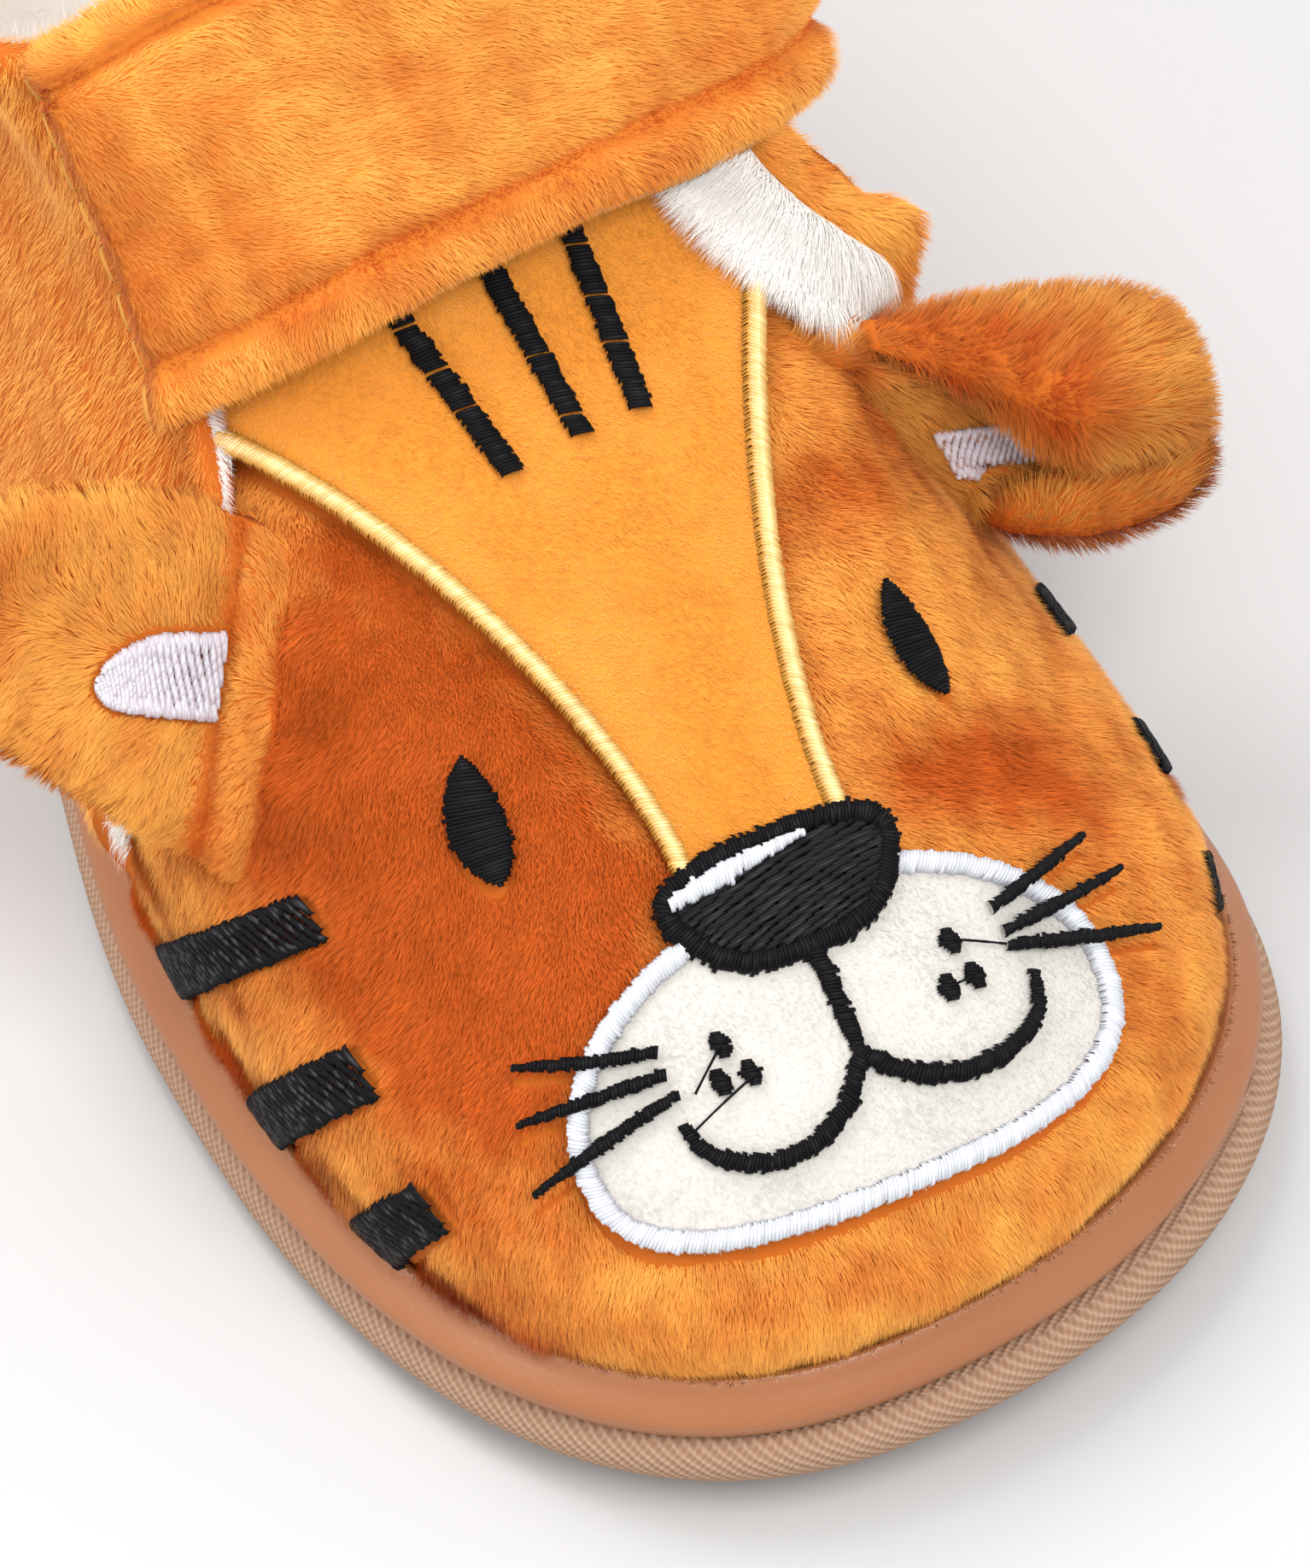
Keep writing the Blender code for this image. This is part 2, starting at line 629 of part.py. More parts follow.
def round_outline(half_width, half_height, power, centre_y, taper):
    """A squared-off oval; with a taper it is wider at its upper end."""
    points = []
    for i in range(OUTLINE_POINTS):
        angle = 2.0 * math.pi * i / OUTLINE_POINTS
        cos = math.cos(angle)
        sin = math.sin(angle)
        x = math.copysign(abs(cos) ** (2.0 / power), cos)
        y = math.copysign(abs(sin) ** (2.0 / power), sin)
        points.append((half_width * x * (1.0 + taper * y), centre_y + half_height * y))
    return points


def muzzle_outline():
    return round_outline(MUZZLE_HALF_WIDTH, MUZZLE_HALF_HEIGHT, MUZZLE_POWER, MUZZLE_CENTRE_Y, 0.0)


def nose_outline(out):
    return round_outline(NOSE_HALF_WIDTH + out, NOSE_HALF_HEIGHT + out, NOSE_POWER, NOSE_CENTRE_Y, NOSE_TAPER)


def add_prism(name, outline, slant, skin):
    """A hidden prism through an outline drawn on the upper; going up it slants towards the toe."""
    shape = bmesh.new()
    rings = []
    for end_z in (PRISM_LOW, PRISM_HIGH):
        ring = []
        for x, y in outline:
            rise = end_z - skin_height(skin, x * MM, y * MM) if slant else 0.0
            ring.append(shape.verts.new((x * MM, y * MM - slant * rise, end_z)))
        rings.append(ring)
    count = len(outline)
    for i in range(count):
        k = (i + 1) % count
        shape.faces.new([rings[0][i], rings[0][k], rings[1][k], rings[1][i]])
    shape.faces.new(rings[0][::-1])
    shape.faces.new(rings[1])
    prism = add_object(name, shape)
    prism.hide_render = True
    prism.display_type = "WIRE"
    return prism


def cut(piece, prism, operation):
    modifier = piece.modifiers.new(operation.lower(), "BOOLEAN")
    modifier.operation = operation
    modifier.object = prism
    modifier.solver = "EXACT"


def vamp_slice(name):
    """The space over the vamp between two lifts, on the upper's own grid lines."""
    low, high = OVERLAY_LIFTS[name]
    levels = np.arange(LEVEL_STEP, TOP, LEVEL_STEP)
    shares = np.linspace(-1.0, 1.0, VAMP_STRIPS + 1)[1:-1]
    outer = [[on_vamp(level, share, high * MM) for share in shares] for level in levels]
    inner = [[on_vamp(level, share, low * MM) for share in shares] for level in levels]
    return add_object(name, thick_sheet(outer, inner))


def make_face(skin):
    panel = vamp_slice("forehead_panel")
    cut(panel, add_prism("cutter_panel", panel_outline(), 0.0, skin), "INTERSECT")
    muzzle = vamp_slice("muzzle_patch")
    cut(muzzle, add_prism("cutter_muzzle", muzzle_outline(), FACE_SLANT, skin), "INTERSECT")
    cut(muzzle, add_prism("cutter_notch", nose_outline(NOSE_CLEAR), FACE_SLANT, skin), "DIFFERENCE")
    nose = vamp_slice("nose_patch")
    cut(nose, add_prism("cutter_nose", nose_outline(0.0), FACE_SLANT, skin), "INTERSECT")


def over_vamp(skin, x, y, lift):
    """A point over the upper at a place in plan, lifted square to the surface there."""
    step = CORD_RADIUS * MM
    slope_x = (skin_height(skin, x + step, y) - skin_height(skin, x - step, y)) / (2.0 * step)
    slope_y = (skin_height(skin, x, y + step) - skin_height(skin, x, y - step)) / (2.0 * step)
    normal = unit(np.array([-slope_x, -slope_y, 1.0]))
    return np.array([x, y, skin_height(skin, x, y)]) + lift * normal


def make_cord(name, side, top_y, skin):
    lift = GAP + CORD_RADIUS * MM
    path = []
    for y in np.linspace(CORD_LOW_Y, top_y, CORD_POINTS):
        path.append(over_vamp(skin, side * panel_half(y) * MM, y * MM, lift))
    curve = bpy.data.curves.new(name, "CURVE")
    curve.dimensions = "3D"
    curve.bevel_depth = CORD_RADIUS * MM
    curve.bevel_resolution = 2
    curve.use_fill_caps = True
    spline = curve.splines.new("POLY")
    spline.points.add(len(path) - 1)
    for point, place in zip(spline.points, path):
        point.co = (*place, 1.0)
    curve.materials.append(material(name))
    bpy.context.scene.collection.objects.link(bpy.data.objects.new(name, curve))


def main():
    for old in list(bpy.data.objects):
        bpy.data.objects.remove(old)
    sole_plate("outsole", OUTSOLE_OUTLINE, OUTSOLE_SIDE, 0.0)
    sole_plate("midsole", MIDSOLE_OUTLINE, MIDSOLE_SIDE, MIDSOLE_BASE)
    sole_plate("insole", LEVELS[0].outline, INSOLE_SIDE, SOLE_TOP + GAP)
    upper = make_upper()
    make_strap()
    for ear in EARS:
        make_ear(ear)
    for fur in FURS:
        make_fur(fur)
    skin = BVHTree.FromPolygons(
        [vertex.co for vertex in upper.data.vertices],
        [polygon.vertices for polygon in upper.data.polygons],
    )
    make_face(skin)
    make_cord("cord_lateral", LATERAL, CORD_TOP_Y[LATERAL], skin)
    make_cord("cord_medial", MEDIAL, CORD_TOP_Y[MEDIAL], skin)


main()
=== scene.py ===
"""Looks of the animal slipper: plush, embroidery, fur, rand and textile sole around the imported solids.

Sizes are in millimetres until a mesh is made. +Z is up, the toe points to -Y, the lateral side to +X.
The upper's surface is the part's own: a level counts rows of LEVELS, and a run is the distance round a
level from the toe, positive on the lateral side. A tone of 0 is a pile's light colour, and 1 its dark one.
"""
import functools
import math
from collections import namedtuple

import bpy
import numpy as np
from mathutils import Matrix, Vector
from mathutils.bvhtree import BVHTree


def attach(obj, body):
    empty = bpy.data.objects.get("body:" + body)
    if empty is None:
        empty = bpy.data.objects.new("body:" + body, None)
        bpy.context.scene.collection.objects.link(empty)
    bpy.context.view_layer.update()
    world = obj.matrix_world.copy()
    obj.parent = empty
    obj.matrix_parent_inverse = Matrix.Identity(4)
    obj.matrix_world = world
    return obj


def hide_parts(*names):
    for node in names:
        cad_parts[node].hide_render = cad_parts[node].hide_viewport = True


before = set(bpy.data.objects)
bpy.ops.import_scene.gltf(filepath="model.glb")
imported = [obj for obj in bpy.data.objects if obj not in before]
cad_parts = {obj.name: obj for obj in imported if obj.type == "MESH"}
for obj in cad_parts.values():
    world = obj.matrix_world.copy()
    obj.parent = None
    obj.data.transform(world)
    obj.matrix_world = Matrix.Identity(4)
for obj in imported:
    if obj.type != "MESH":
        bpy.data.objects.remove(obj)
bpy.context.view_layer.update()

MM = 0.001
LATERAL = 1
MEDIAL = -1
SIDE_NAMES = {LATERAL: "lateral", MEDIAL: "medial"}
UPWARD = np.array((0.0, 0.0, 1.0))
SEED = 20

# The part's own shape
Outline = namedtuple("Outline", "toe_y heel_y tip_x lateral medial lateral_y medial_y heel_half")
Level = namedtuple("Level", "name outline front_h back_h vamp_lateral vamp_medial slit_lateral slit_medial")
OUTSOLE_THICK = 6.0
MIDSOLE_THICK = 5.0
SOLE_GAP = 0.3
MIDSOLE_BASE = OUTSOLE_THICK + SOLE_GAP
SOLE_TOP = MIDSOLE_BASE + MIDSOLE_THICK
TOE_SPRING = 6.0
SPRING_START_Y = -42.0
TOE_TIP_Y = -95.0
WALL = 3.0
QUARTER_STEP = 2.5
STEP_FULL_LEVEL = 2.0
SLIT_LEVEL = 5.0
FLARE = 6.5
FLARE_LEVEL = 5.4
FLARE_RISE = 1.3
FLARE_BEHIND = 30.0
FLARE_AHEAD = 12.0
FRONT_POWER = {LATERAL: 2.05, MEDIAL: 2.35}
HEEL_POWER = 2.15
HEEL_X = 1.0
HEEL_REACH = 1.05
WAIST = {LATERAL: 1.0, MEDIAL: 2.5}
WAIST_FLANK = 90.0
OUTSOLE_OUTLINE = Outline(-94.5, 93.0, -1.0, 47.0, 42.3, -55.0, -30.0, 32.0)
MIDSOLE_OUTLINE = Outline(-93.0, 91.5, -3.0, 46.0, 42.3, -54.0, -30.0, 31.5)
LEVELS = (
    Level("feather", Outline(-90.0, 88.0, -3.0, 42.5, 40.0, -53.0, -31.0, 29.0), 0.3, 0.3, 99, 91, 1.0, 1.0),
    Level("wall", Outline(-91.0, 90.0, -2.5, 43.4, 41.2, -52.0, -31.0, 31.0), 5.5, 8.0, 100, 92, 1.0, 1.0),
    Level("roll", Outline(-88.0, 90.5, -1.5, 41.8, 41.2, -50.0, -30.0, 31.5), 11.5, 16.0, 96, 90, 1.0, 1.0),
    Level("toe", Outline(-82.5, 90.0, -0.5, 38.4, 39.6, -44.0, -27.0, 31.5), 17.0, 23.5, 88, 85, 1.0, 1.0),
    Level("muzzle", Outline(-74.5, 89.5, 0.0, 33.8, 36.0, -34.0, -22.0, 31.0), 23.5, 30.5, 76, 74, 1.2, 1.2),
    Level("brow", Outline(-55.0, 88.5, 0.3, 29.2, 31.3, -18.0, -10.0, 30.5), 35.0, 38.0, 55, 55, 3.0, 1.8),
    Level("forehead", Outline(-34.0, 87.5, 0.6, 28.4, 27.5, -2.0, 2.0, 30.5), 43.0, 42.0, 33, 37.5, 7.0, 2.5),
    Level("instep", Outline(-13.0, 86.5, 1.0, 32.5, 26.5, 12.0, 14.0, 30.5), 49.5, 48.5, 21, 29, 7.5, 3.0),
    Level("throat", Outline(1.0, 85.5, 1.5, 34.0, 28.5, 22.0, 20.0, 31.5), 61.5, 54.5, 19, 22.5, 7.0, 3.0),
    Level("collar", Outline(12.0, 84.5, 2.0, 34.8, 31.3, 29.0, 26.0, 32.6), 76.5, 61.0, 18, 19, 6.0, 3.0),
)
LEVEL_TABLE = np.array([[*row.outline, *row[2:]] for row in LEVELS], dtype=float)
OUTLINE_SIZES = len(Outline._fields)
TOP = len(LEVELS) - 1
DROP_LEVEL = 7.0
DROP_POWER = 0.45
RING_STEPS = 90
PANEL_LOW_Y = -57.0
PANEL_HIGH_Y = -9.0
PANEL_LOW_HALF = 7.0
PANEL_WIDENS = 18.0
PANEL_POWER = 1.6
Oval = namedtuple("Oval", "y half_width half_height power taper")
MUZZLE = Oval(-73.5, 24.2, 11.9, 2.3, 0.0)
NOSE = Oval(-62.5, 9.6, 4.8, 3.0, 0.28)


# Small tools for arrays

def smooth_step(t):
    t = np.clip(t, 0.0, 1.0)
    return t * t * (3.0 - 2.0 * t)


def mix(a, b, t):
    return a + (b - a) * t


def bell(away):
    """A smooth bump: 1 in the middle, near 0 from a distance of about 2."""
    return np.exp(-(away**2))


def unit(vectors):
    length = np.linalg.norm(vectors, axis=-1, keepdims=True)
    return vectors / np.maximum(length, 1e-9)


def run_lengths(points):
    """Distance along a line, from its first point to each of its points."""
    steps = np.linalg.norm(np.diff(points, axis=0), axis=1)
    return np.concatenate([[0.0], np.cumsum(steps)])


def read_line(points, runs, at):
    """Places at distances along a line of points."""
    return np.stack([np.interp(at, runs, points[:, axis]) for axis in range(3)], axis=-1)


def between(grid, r, c, u, v):
    """A grid read between its rows r and r + 1 and its columns c and c + 1."""
    return mix(mix(grid[r, c], grid[r, c + 1], u), mix(grid[r + 1, c], grid[r + 1, c + 1], u), v)


def hermite(start, start_slope, end, end_slope, t):
    """A smooth curve from start to end with the slopes given there."""
    return (
        start * (1.0 + 2.0 * t) * (1.0 - t) ** 2
        + start_slope * t * (1.0 - t) ** 2
        + end * t * t * (3.0 - 2.0 * t)
        + end_slope * t * t * (t - 1.0)
    )


def smooth_path(corners, count):
    """A curve through corners, in plan or in space."""
    corners = np.array(corners, dtype=float)
    runs = run_lengths(corners)
    at = np.linspace(0.0, runs[-1], count)
    slopes = np.gradient(corners, runs, axis=0)
    k = np.clip(np.searchsorted(runs, at, side="right") - 1, 0, len(runs) - 2)
    span = (runs[k + 1] - runs[k])[:, None]
    t = (at - runs[k])[:, None] / span
    return hermite(corners[k], slopes[k] * span, corners[k + 1], slopes[k + 1] * span, t)


def segment_distance(points, start, end):
    """Distance of points from a straight segment, in as many dimensions as they have."""
    start = np.array(start, dtype=float)
    run = np.array(end, dtype=float) - start
    t = np.clip(((points - start) @ run) / (run @ run), 0.0, 1.0)
    return np.linalg.norm(points - start - t[..., None] * run, axis=-1)


def path_distance(points, path):
    return np.min([segment_distance(points, a, b) for a, b in zip(path, path[1:])], axis=0)


def dice(seed):
    """The random draws of one piece."""
    return np.random.default_rng(SEED + seed)


NOISE_WAVES = 7
NOISE_SPREAD = (0.6, 1.5)
NOISE_GAIN = 1.1


def wander(points, wavelength, seed):
    """Smooth noise from -1 to 1: a few waves in random directions."""
    rng = dice(seed)
    total = np.zeros(points.shape[:-1])
    for _ in range(NOISE_WAVES):
        direction = unit(rng.normal(size=3)) * 2.0 * math.pi / (wavelength * rng.uniform(*NOISE_SPREAD))
        total += np.sin(points @ direction + rng.uniform(0.0, 2.0 * math.pi))
    return np.clip(total / math.sqrt(NOISE_WAVES) * NOISE_GAIN, -1.0, 1.0)


Tone = namedtuple("Tone", "base broad broad_wave broad_seed fine fine_wave fine_seed", defaults=(0.0, 1.0, 0))


def patchy(points, tone):
    """A tone that wanders over a surface in broad and in fine patches."""
    broad = tone.broad * wander(points, tone.broad_wave, tone.broad_seed)
    return tone.base + broad + tone.fine * wander(points, tone.fine_wave, tone.fine_seed)


# Surfaces of the sole and the upper

def spring(y):
    """How far the sole curls up off the floor at length y."""
    t = np.maximum(0.0, (SPRING_START_Y - y) / (SPRING_START_Y - TOE_TIP_Y))
    return TOE_SPRING * t * t


def let_out(outline, out):
    """The same outline, larger by out all round."""
    return outline._replace(
        toe_y=outline.toe_y - out,
        heel_y=outline.heel_y + out,
        lateral=outline.lateral + out,
        medial=outline.medial + out,
        heel_half=outline.heel_half + out,
    )


def outline_x(outline, side, y):
    """Where one side of an outline lies at the lengths y."""
    widest = outline.lateral if side == LATERAL else outline.medial
    widest_y = outline.lateral_y if side == LATERAL else outline.medial_y
    heel_y = outline.heel_y - HEEL_REACH * outline.heel_half
    power = FRONT_POWER[side]
    front = np.clip((widest_y - y) / (widest_y - outline.toe_y), 0.0, 1.0)
    reach = widest - side * outline.tip_x
    fore = outline.tip_x + side * reach * (1.0 - front**power) ** (1.0 / power)
    flank = heel_y - widest_y
    t = np.clip((y - widest_y) / flank, 0.0, 1.0)
    half = mix(widest, outline.heel_half + side * HEEL_X, smooth_step(t))
    waist = WAIST[side] * min(1.0, flank / WAIST_FLANK)
    middle = side * (half - waist * np.sin(math.pi * t) ** 2)
    back = np.clip((y - heel_y) / (outline.heel_y - heel_y), 0.0, 1.0)
    aft = HEEL_X + side * outline.heel_half * (1.0 - back**HEEL_POWER) ** (1.0 / HEEL_POWER)
    return np.where(y <= widest_y, fore, np.where(y <= heel_y, middle, aft))


def two_sides(outline, y, z):
    """The lateral and the medial line of an outline at lengths y and heights z."""
    return [np.stack([outline_x(outline, side, y), y, z], axis=1) for side in (LATERAL, MEDIAL)]


def stations(outline, count):
    """Lengths from toe to heel, crowded at both round ends."""
    turn = np.linspace(0.0, math.pi, count + 1)
    return outline.toe_y + (outline.heel_y - outline.toe_y) * (1.0 - np.cos(turn)) / 2.0


def level_sizes(level):
    """The sizes of any level, on a smooth curve through the table's rows."""
    i = min(int(level), TOP - 1)
    before, start, end, after = LEVEL_TABLE[np.clip((i - 1, i, i + 1, i + 2), 0, TOP)]
    sizes = hermite(start, (end - before) / 2.0, end, (after - start) / 2.0, level - i)
    return Level("", Outline(*sizes[:OUTLINE_SIZES]), *sizes[OUTLINE_SIZES:])


Ring = namedtuple("Ring", "points runs lateral medial sizes")


@functools.lru_cache(maxsize=None)
def ring(level):
    """One whole level from the heel over the medial side, the toe and the lateral side to the heel."""
    sizes = level_sizes(level)
    outline = sizes.outline
    y = stations(outline, RING_STEPS)
    share = (y - outline.toe_y) / (outline.heel_y - outline.toe_y)
    power = mix(1.0, DROP_POWER, smooth_step((level - DROP_LEVEL) / (TOP - DROP_LEVEL)))
    z = SOLE_TOP + spring(y) + mix(sizes.front_h, sizes.back_h, share**power)
    lateral, medial = two_sides(outline, y, z)
    lateral_runs = run_lengths(lateral)
    medial_runs = run_lengths(medial)
    points = np.vstack([medial[:0:-1], lateral])
    runs = np.concatenate([-medial_runs[:0:-1], lateral_runs])
    return Ring(points, runs, lateral_runs[-1], medial_runs[-1], sizes)


def ring_points(level, runs):
    """Surface points at runs; a run past the heel goes on along the other side."""
    at = ring(level)
    wrapped = (runs + at.medial) % (at.lateral + at.medial) - at.medial
    return read_line(at.points, at.runs, wrapped)


def vamp_runs(level, shares):
    """Share -1 is the vamp's medial edge, 0 the toe, 1 the lateral edge."""
    sizes = ring(level).sizes
    return np.where(shares >= 0.0, shares * sizes.vamp_lateral, shares * sizes.vamp_medial)


def quarter_edge(level, side):
    """The run of the quarter's front edge, past the slit."""
    sizes = ring(level).sizes
    if side == LATERAL:
        return sizes.vamp_lateral + sizes.slit_lateral
    return sizes.vamp_medial + sizes.slit_medial


def quarter_runs(level, shares):
    """Share 0 is the lateral front edge, 1 the heel, 2 the medial front edge."""
    at = ring(level)
    lateral = mix(quarter_edge(level, LATERAL), at.lateral, shares)
    medial = -mix(quarter_edge(level, MEDIAL), at.medial, 2.0 - shares)
    return np.where(shares <= 1.0, lateral, medial)


def whole_runs(level, shares):
    """Share -1 and 1 are the heel, 0 the toe."""
    at = ring(level)
    return np.where(shares >= 0.0, shares * at.lateral, shares * at.medial)


def flare(level, runs):
    """How far the quarter stands off the foot near its lateral front edge."""
    behind = runs - quarter_edge(level, LATERAL)
    span = np.where(behind >= 0.0, FLARE_BEHIND, FLARE_AHEAD)
    rise = smooth_step(1.0 - abs(level - FLARE_LEVEL) / FLARE_RISE)
    return np.where(runs < 0.0, 0.0, FLARE * rise * smooth_step(1.0 - np.abs(behind) / span))


# A Skin is a grid or a list of surface points, with where each lies on the pattern and the way its pile flows
Skin = namedtuple("Skin", "points normals level share flow", defaults=(None,))
LEVEL_ROWS = np.linspace(0.0, TOP, 91)
VAMP_SHARES = np.linspace(-1.0, 1.0, 97)
QUARTER_SHARES = np.linspace(0.0, 2.0, 129)
COLLAR_SINK = 5.5
COLLAR_SINK_LEVEL = 7.6
COLLAR_SINK_FROM = 1.2
COLLAR_SINK_OVER = 0.5
INNER_FADE = 0.12


def normals_of(points):
    along = np.gradient(points, axis=1)
    up = np.gradient(points, axis=0)
    return unit(np.cross(along, up))


def lifted(skin, lift):
    """The same skin further out, with the normals of its new shape."""
    points = skin.points + skin.normals * np.broadcast_to(lift, skin.level.shape)[..., None]
    return skin._replace(points=points, normals=normals_of(points))


def part_of(skin, rows=slice(None), columns=slice(None)):
    return Skin(*(values[rows, columns] for values in skin[:4]))


def pattern_skin(levels, shares, runs_of):
    points = np.stack([ring_points(level, runs_of(level, shares)) for level in levels])
    normals = normals_of(points)
    level_grid = np.repeat(levels[:, None], len(shares), axis=1)
    share_grid = np.repeat(shares[None, :], len(levels), axis=0)
    normals[..., 2] *= smooth_step(level_grid)
    return Skin(points, unit(normals), level_grid, share_grid)


def sunk_collar(skin):
    """The collar dips on the medial side."""
    high = smooth_step((skin.level - COLLAR_SINK_LEVEL) / (TOP - COLLAR_SINK_LEVEL))
    points = skin.points.copy()
    points[..., 2] -= COLLAR_SINK * high * smooth_step((skin.share - COLLAR_SINK_FROM) / COLLAR_SINK_OVER)
    return skin._replace(points=points)


def quarter_lift(skin):
    """The quarter lies a step above the vamp and flares at its lateral edge."""
    step = QUARTER_STEP * smooth_step(skin.level / STEP_FULL_LEVEL)
    flares = [flare(level, quarter_runs(level, skin.share[0])) for level in skin.level[:, 0]]
    return step + np.stack(flares)


def quarter_inner():
    """The quarter's inside, which meets the vamp's level at its front edges."""
    fade = smooth_step(np.minimum(QUARTER.share, 2.0 - QUARTER.share) / INNER_FADE)
    return lifted(QUARTER_FLAT, quarter_lift(QUARTER_FLAT) * fade - WALL)


VAMP = pattern_skin(LEVEL_ROWS, VAMP_SHARES, vamp_runs)
VAMP_INNER = lifted(VAMP, -WALL)
QUARTER_FLAT = sunk_collar(pattern_skin(LEVEL_ROWS, QUARTER_SHARES, quarter_runs))
QUARTER = lifted(QUARTER_FLAT, quarter_lift(QUARTER_FLAT))
QUARTER_INNER = quarter_inner()

# Soft creases, each along a straight line in space
Crease = namedtuple("Crease", "start end width depth")
CREASES = (
    Crease((-37.0, -18.0, 20.0), (-27.0, -30.0, 45.0), 3.5, 1.3),
    Crease((-36.0, -4.0, 18.0), (-29.0, -14.0, 42.0), 3.0, 1.0),
    Crease((38.0, -16.0, 18.0), (26.0, -28.0, 45.0), 3.5, 1.2),
    Crease((-33.0, 26.0, 26.0), (-31.0, 52.0, 46.0), 4.0, 1.6),
    Crease((-34.0, 42.0, 18.0), (-31.0, 66.0, 34.0), 4.0, 1.3),
    Crease((36.0, 22.0, 24.0), (35.0, 50.0, 44.0), 4.0, 1.6),
    Crease((37.0, 40.0, 18.0), (33.0, 68.0, 34.0), 4.0, 1.3),
    Crease((-20.0, 84.0, 36.0), (18.0, 86.0, 31.0), 4.0, 1.3),
    Crease((-14.0, 88.0, 22.0), (22.0, 86.0, 25.0), 3.5, 1.0),
    Crease((-12.0, -84.0, 26.0), (10.0, -85.0, 25.0), 3.0, 0.7),
)
RIDGE_PLACE = 1.9
RIDGE_SHARE = 0.4
PUCKER = 0.12
PUCKER_COUNT = 26
PUCKER_LEVEL = 1.6
SEAM_TROUGH = 0.9
SEAM_TROUGH_WIDTH = 2.6
SEAM_TROUGH_FADE = 6.0
PILE_DEPTH = 1.3


def panel_half(y):
    """Half width of the forehead panel, from the middle to a cord's centre line."""
    share = np.maximum((y - PANEL_LOW_Y) / (PANEL_HIGH_Y - PANEL_LOW_Y), 0.0)
    return PANEL_LOW_HALF + PANEL_WIDENS * share**PANEL_POWER


def crease_lift(skin):
    """Soft troughs with ridges beside them, and small puckers along the sole seam."""
    lift = np.zeros(skin.level.shape)
    for crease in CREASES:
        away = segment_distance(skin.points, crease.start, crease.end) / crease.width
        lift += crease.depth * (RIDGE_SHARE * bell(away - RIDGE_PLACE) - bell(away))
    pucker = np.sin(skin.share * math.pi * PUCKER_COUNT)
    lift += PUCKER * pucker * smooth_step(1.0 - skin.level / PUCKER_LEVEL)
    return lift


def seam_trough(skin):
    """The vamp sinks towards the cords."""
    x, y = skin.points[..., 0], skin.points[..., 1]
    away = (np.abs(x) - panel_half(y)) / SEAM_TROUGH_WIDTH
    return -SEAM_TROUGH * bell(away) * smooth_step((y - PANEL_LOW_Y) / SEAM_TROUGH_FADE)


VAMP_BACKING = lifted(VAMP, crease_lift(VAMP) + seam_trough(VAMP) - PILE_DEPTH)
QUARTER_BACKING = lifted(QUARTER, crease_lift(QUARTER) - PILE_DEPTH)


# Meshes

def add_mesh(name, vertices, loops, sizes):
    """A mesh object from arrays, in millimetres: loops lists the corners of all faces in turn."""
    mesh = bpy.data.meshes.new(name)
    mesh.vertices.add(len(vertices))
    mesh.vertices.foreach_set("co", (np.asarray(vertices) * MM).astype(np.float32).ravel())
    mesh.loops.add(len(loops))
    mesh.loops.foreach_set("vertex_index", np.asarray(loops, dtype=np.int32))
    mesh.polygons.add(len(sizes))
    starts = np.concatenate([[0], np.cumsum(sizes)[:-1]])
    mesh.polygons.foreach_set("loop_start", starts.astype(np.int32))
    mesh.update(calc_edges=True)
    mesh.validate()
    mesh.shade_smooth()
    piece = bpy.data.objects.new(name, mesh)
    bpy.context.scene.collection.objects.link(piece)
    return piece


def add_quads(name, points, quads):
    return add_mesh(name, points.reshape(-1, 3), quads.ravel(), np.full(len(quads), 4))


def place(piece, material, replaced=()):
    """Give a piece its finish, let it ride the root, and hide the CAD nodes that it stands for."""
    piece.data.materials.append(material)
    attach(piece, "root")
    if replaced:
        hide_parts(*replaced)
    return piece


def grid_loops(rows, columns, first=0, closed=False, flip=False):
    """Corner lists of a grid of quads."""
    r, c = np.meshgrid(np.arange(rows - 1), np.arange(columns if closed else columns - 1), indexing="ij")
    d = (c + 1) % columns
    low = r * columns
    high = low + columns
    quads = np.stack([low + c, low + d, high + d, high + c], axis=-1).reshape(-1, 4) + first
    return quads[:, ::-1] if flip else quads


def rim_loops(rows, columns, second):
    """Quads that close two equal grids along their four edges; second is the first index of the inner one."""
    front = np.arange(columns)
    side = np.arange(rows) * columns
    last = (rows - 1) * columns
    loop = np.concatenate([front, side[1:] + columns - 1, last + front[-2::-1], side[-2:0:-1]])
    after = np.roll(loop, -1)
    return np.stack([after, loop, loop + second, after + second], axis=-1)


def two_faced(name, outer, inner):
    """A closed piece between two equal grids."""
    rows, columns = outer.shape[:2]
    count = rows * columns
    quads = np.vstack([
        grid_loops(rows, columns),
        grid_loops(rows, columns, count, flip=True),
        rim_loops(rows, columns, count),
    ])
    return add_quads(name, np.vstack([outer.reshape(-1, 3), inner.reshape(-1, 3)]), quads)


def paint(piece, colours):
    """One linear colour for each vertex."""
    attribute = piece.data.color_attributes.new("tint", "FLOAT_COLOR", "POINT")
    values = np.ones((len(colours), 4), dtype=np.float32)
    values[:, :3] = np.clip(colours, 0.0, 1.0)
    attribute.data.foreach_set("color", values.ravel())


def map_corners(piece, name, places):
    """A named map with one place for each corner of the piece's faces."""
    layer = piece.data.uv_layers.new(name=name)
    layer.data.foreach_set("uv", places.astype(np.float32).ravel())


BAKE_EDGES = (0.2, 0.8)
BAKE_ENDS = (0.15, 0.85)
BAKE_TIP = 0.5


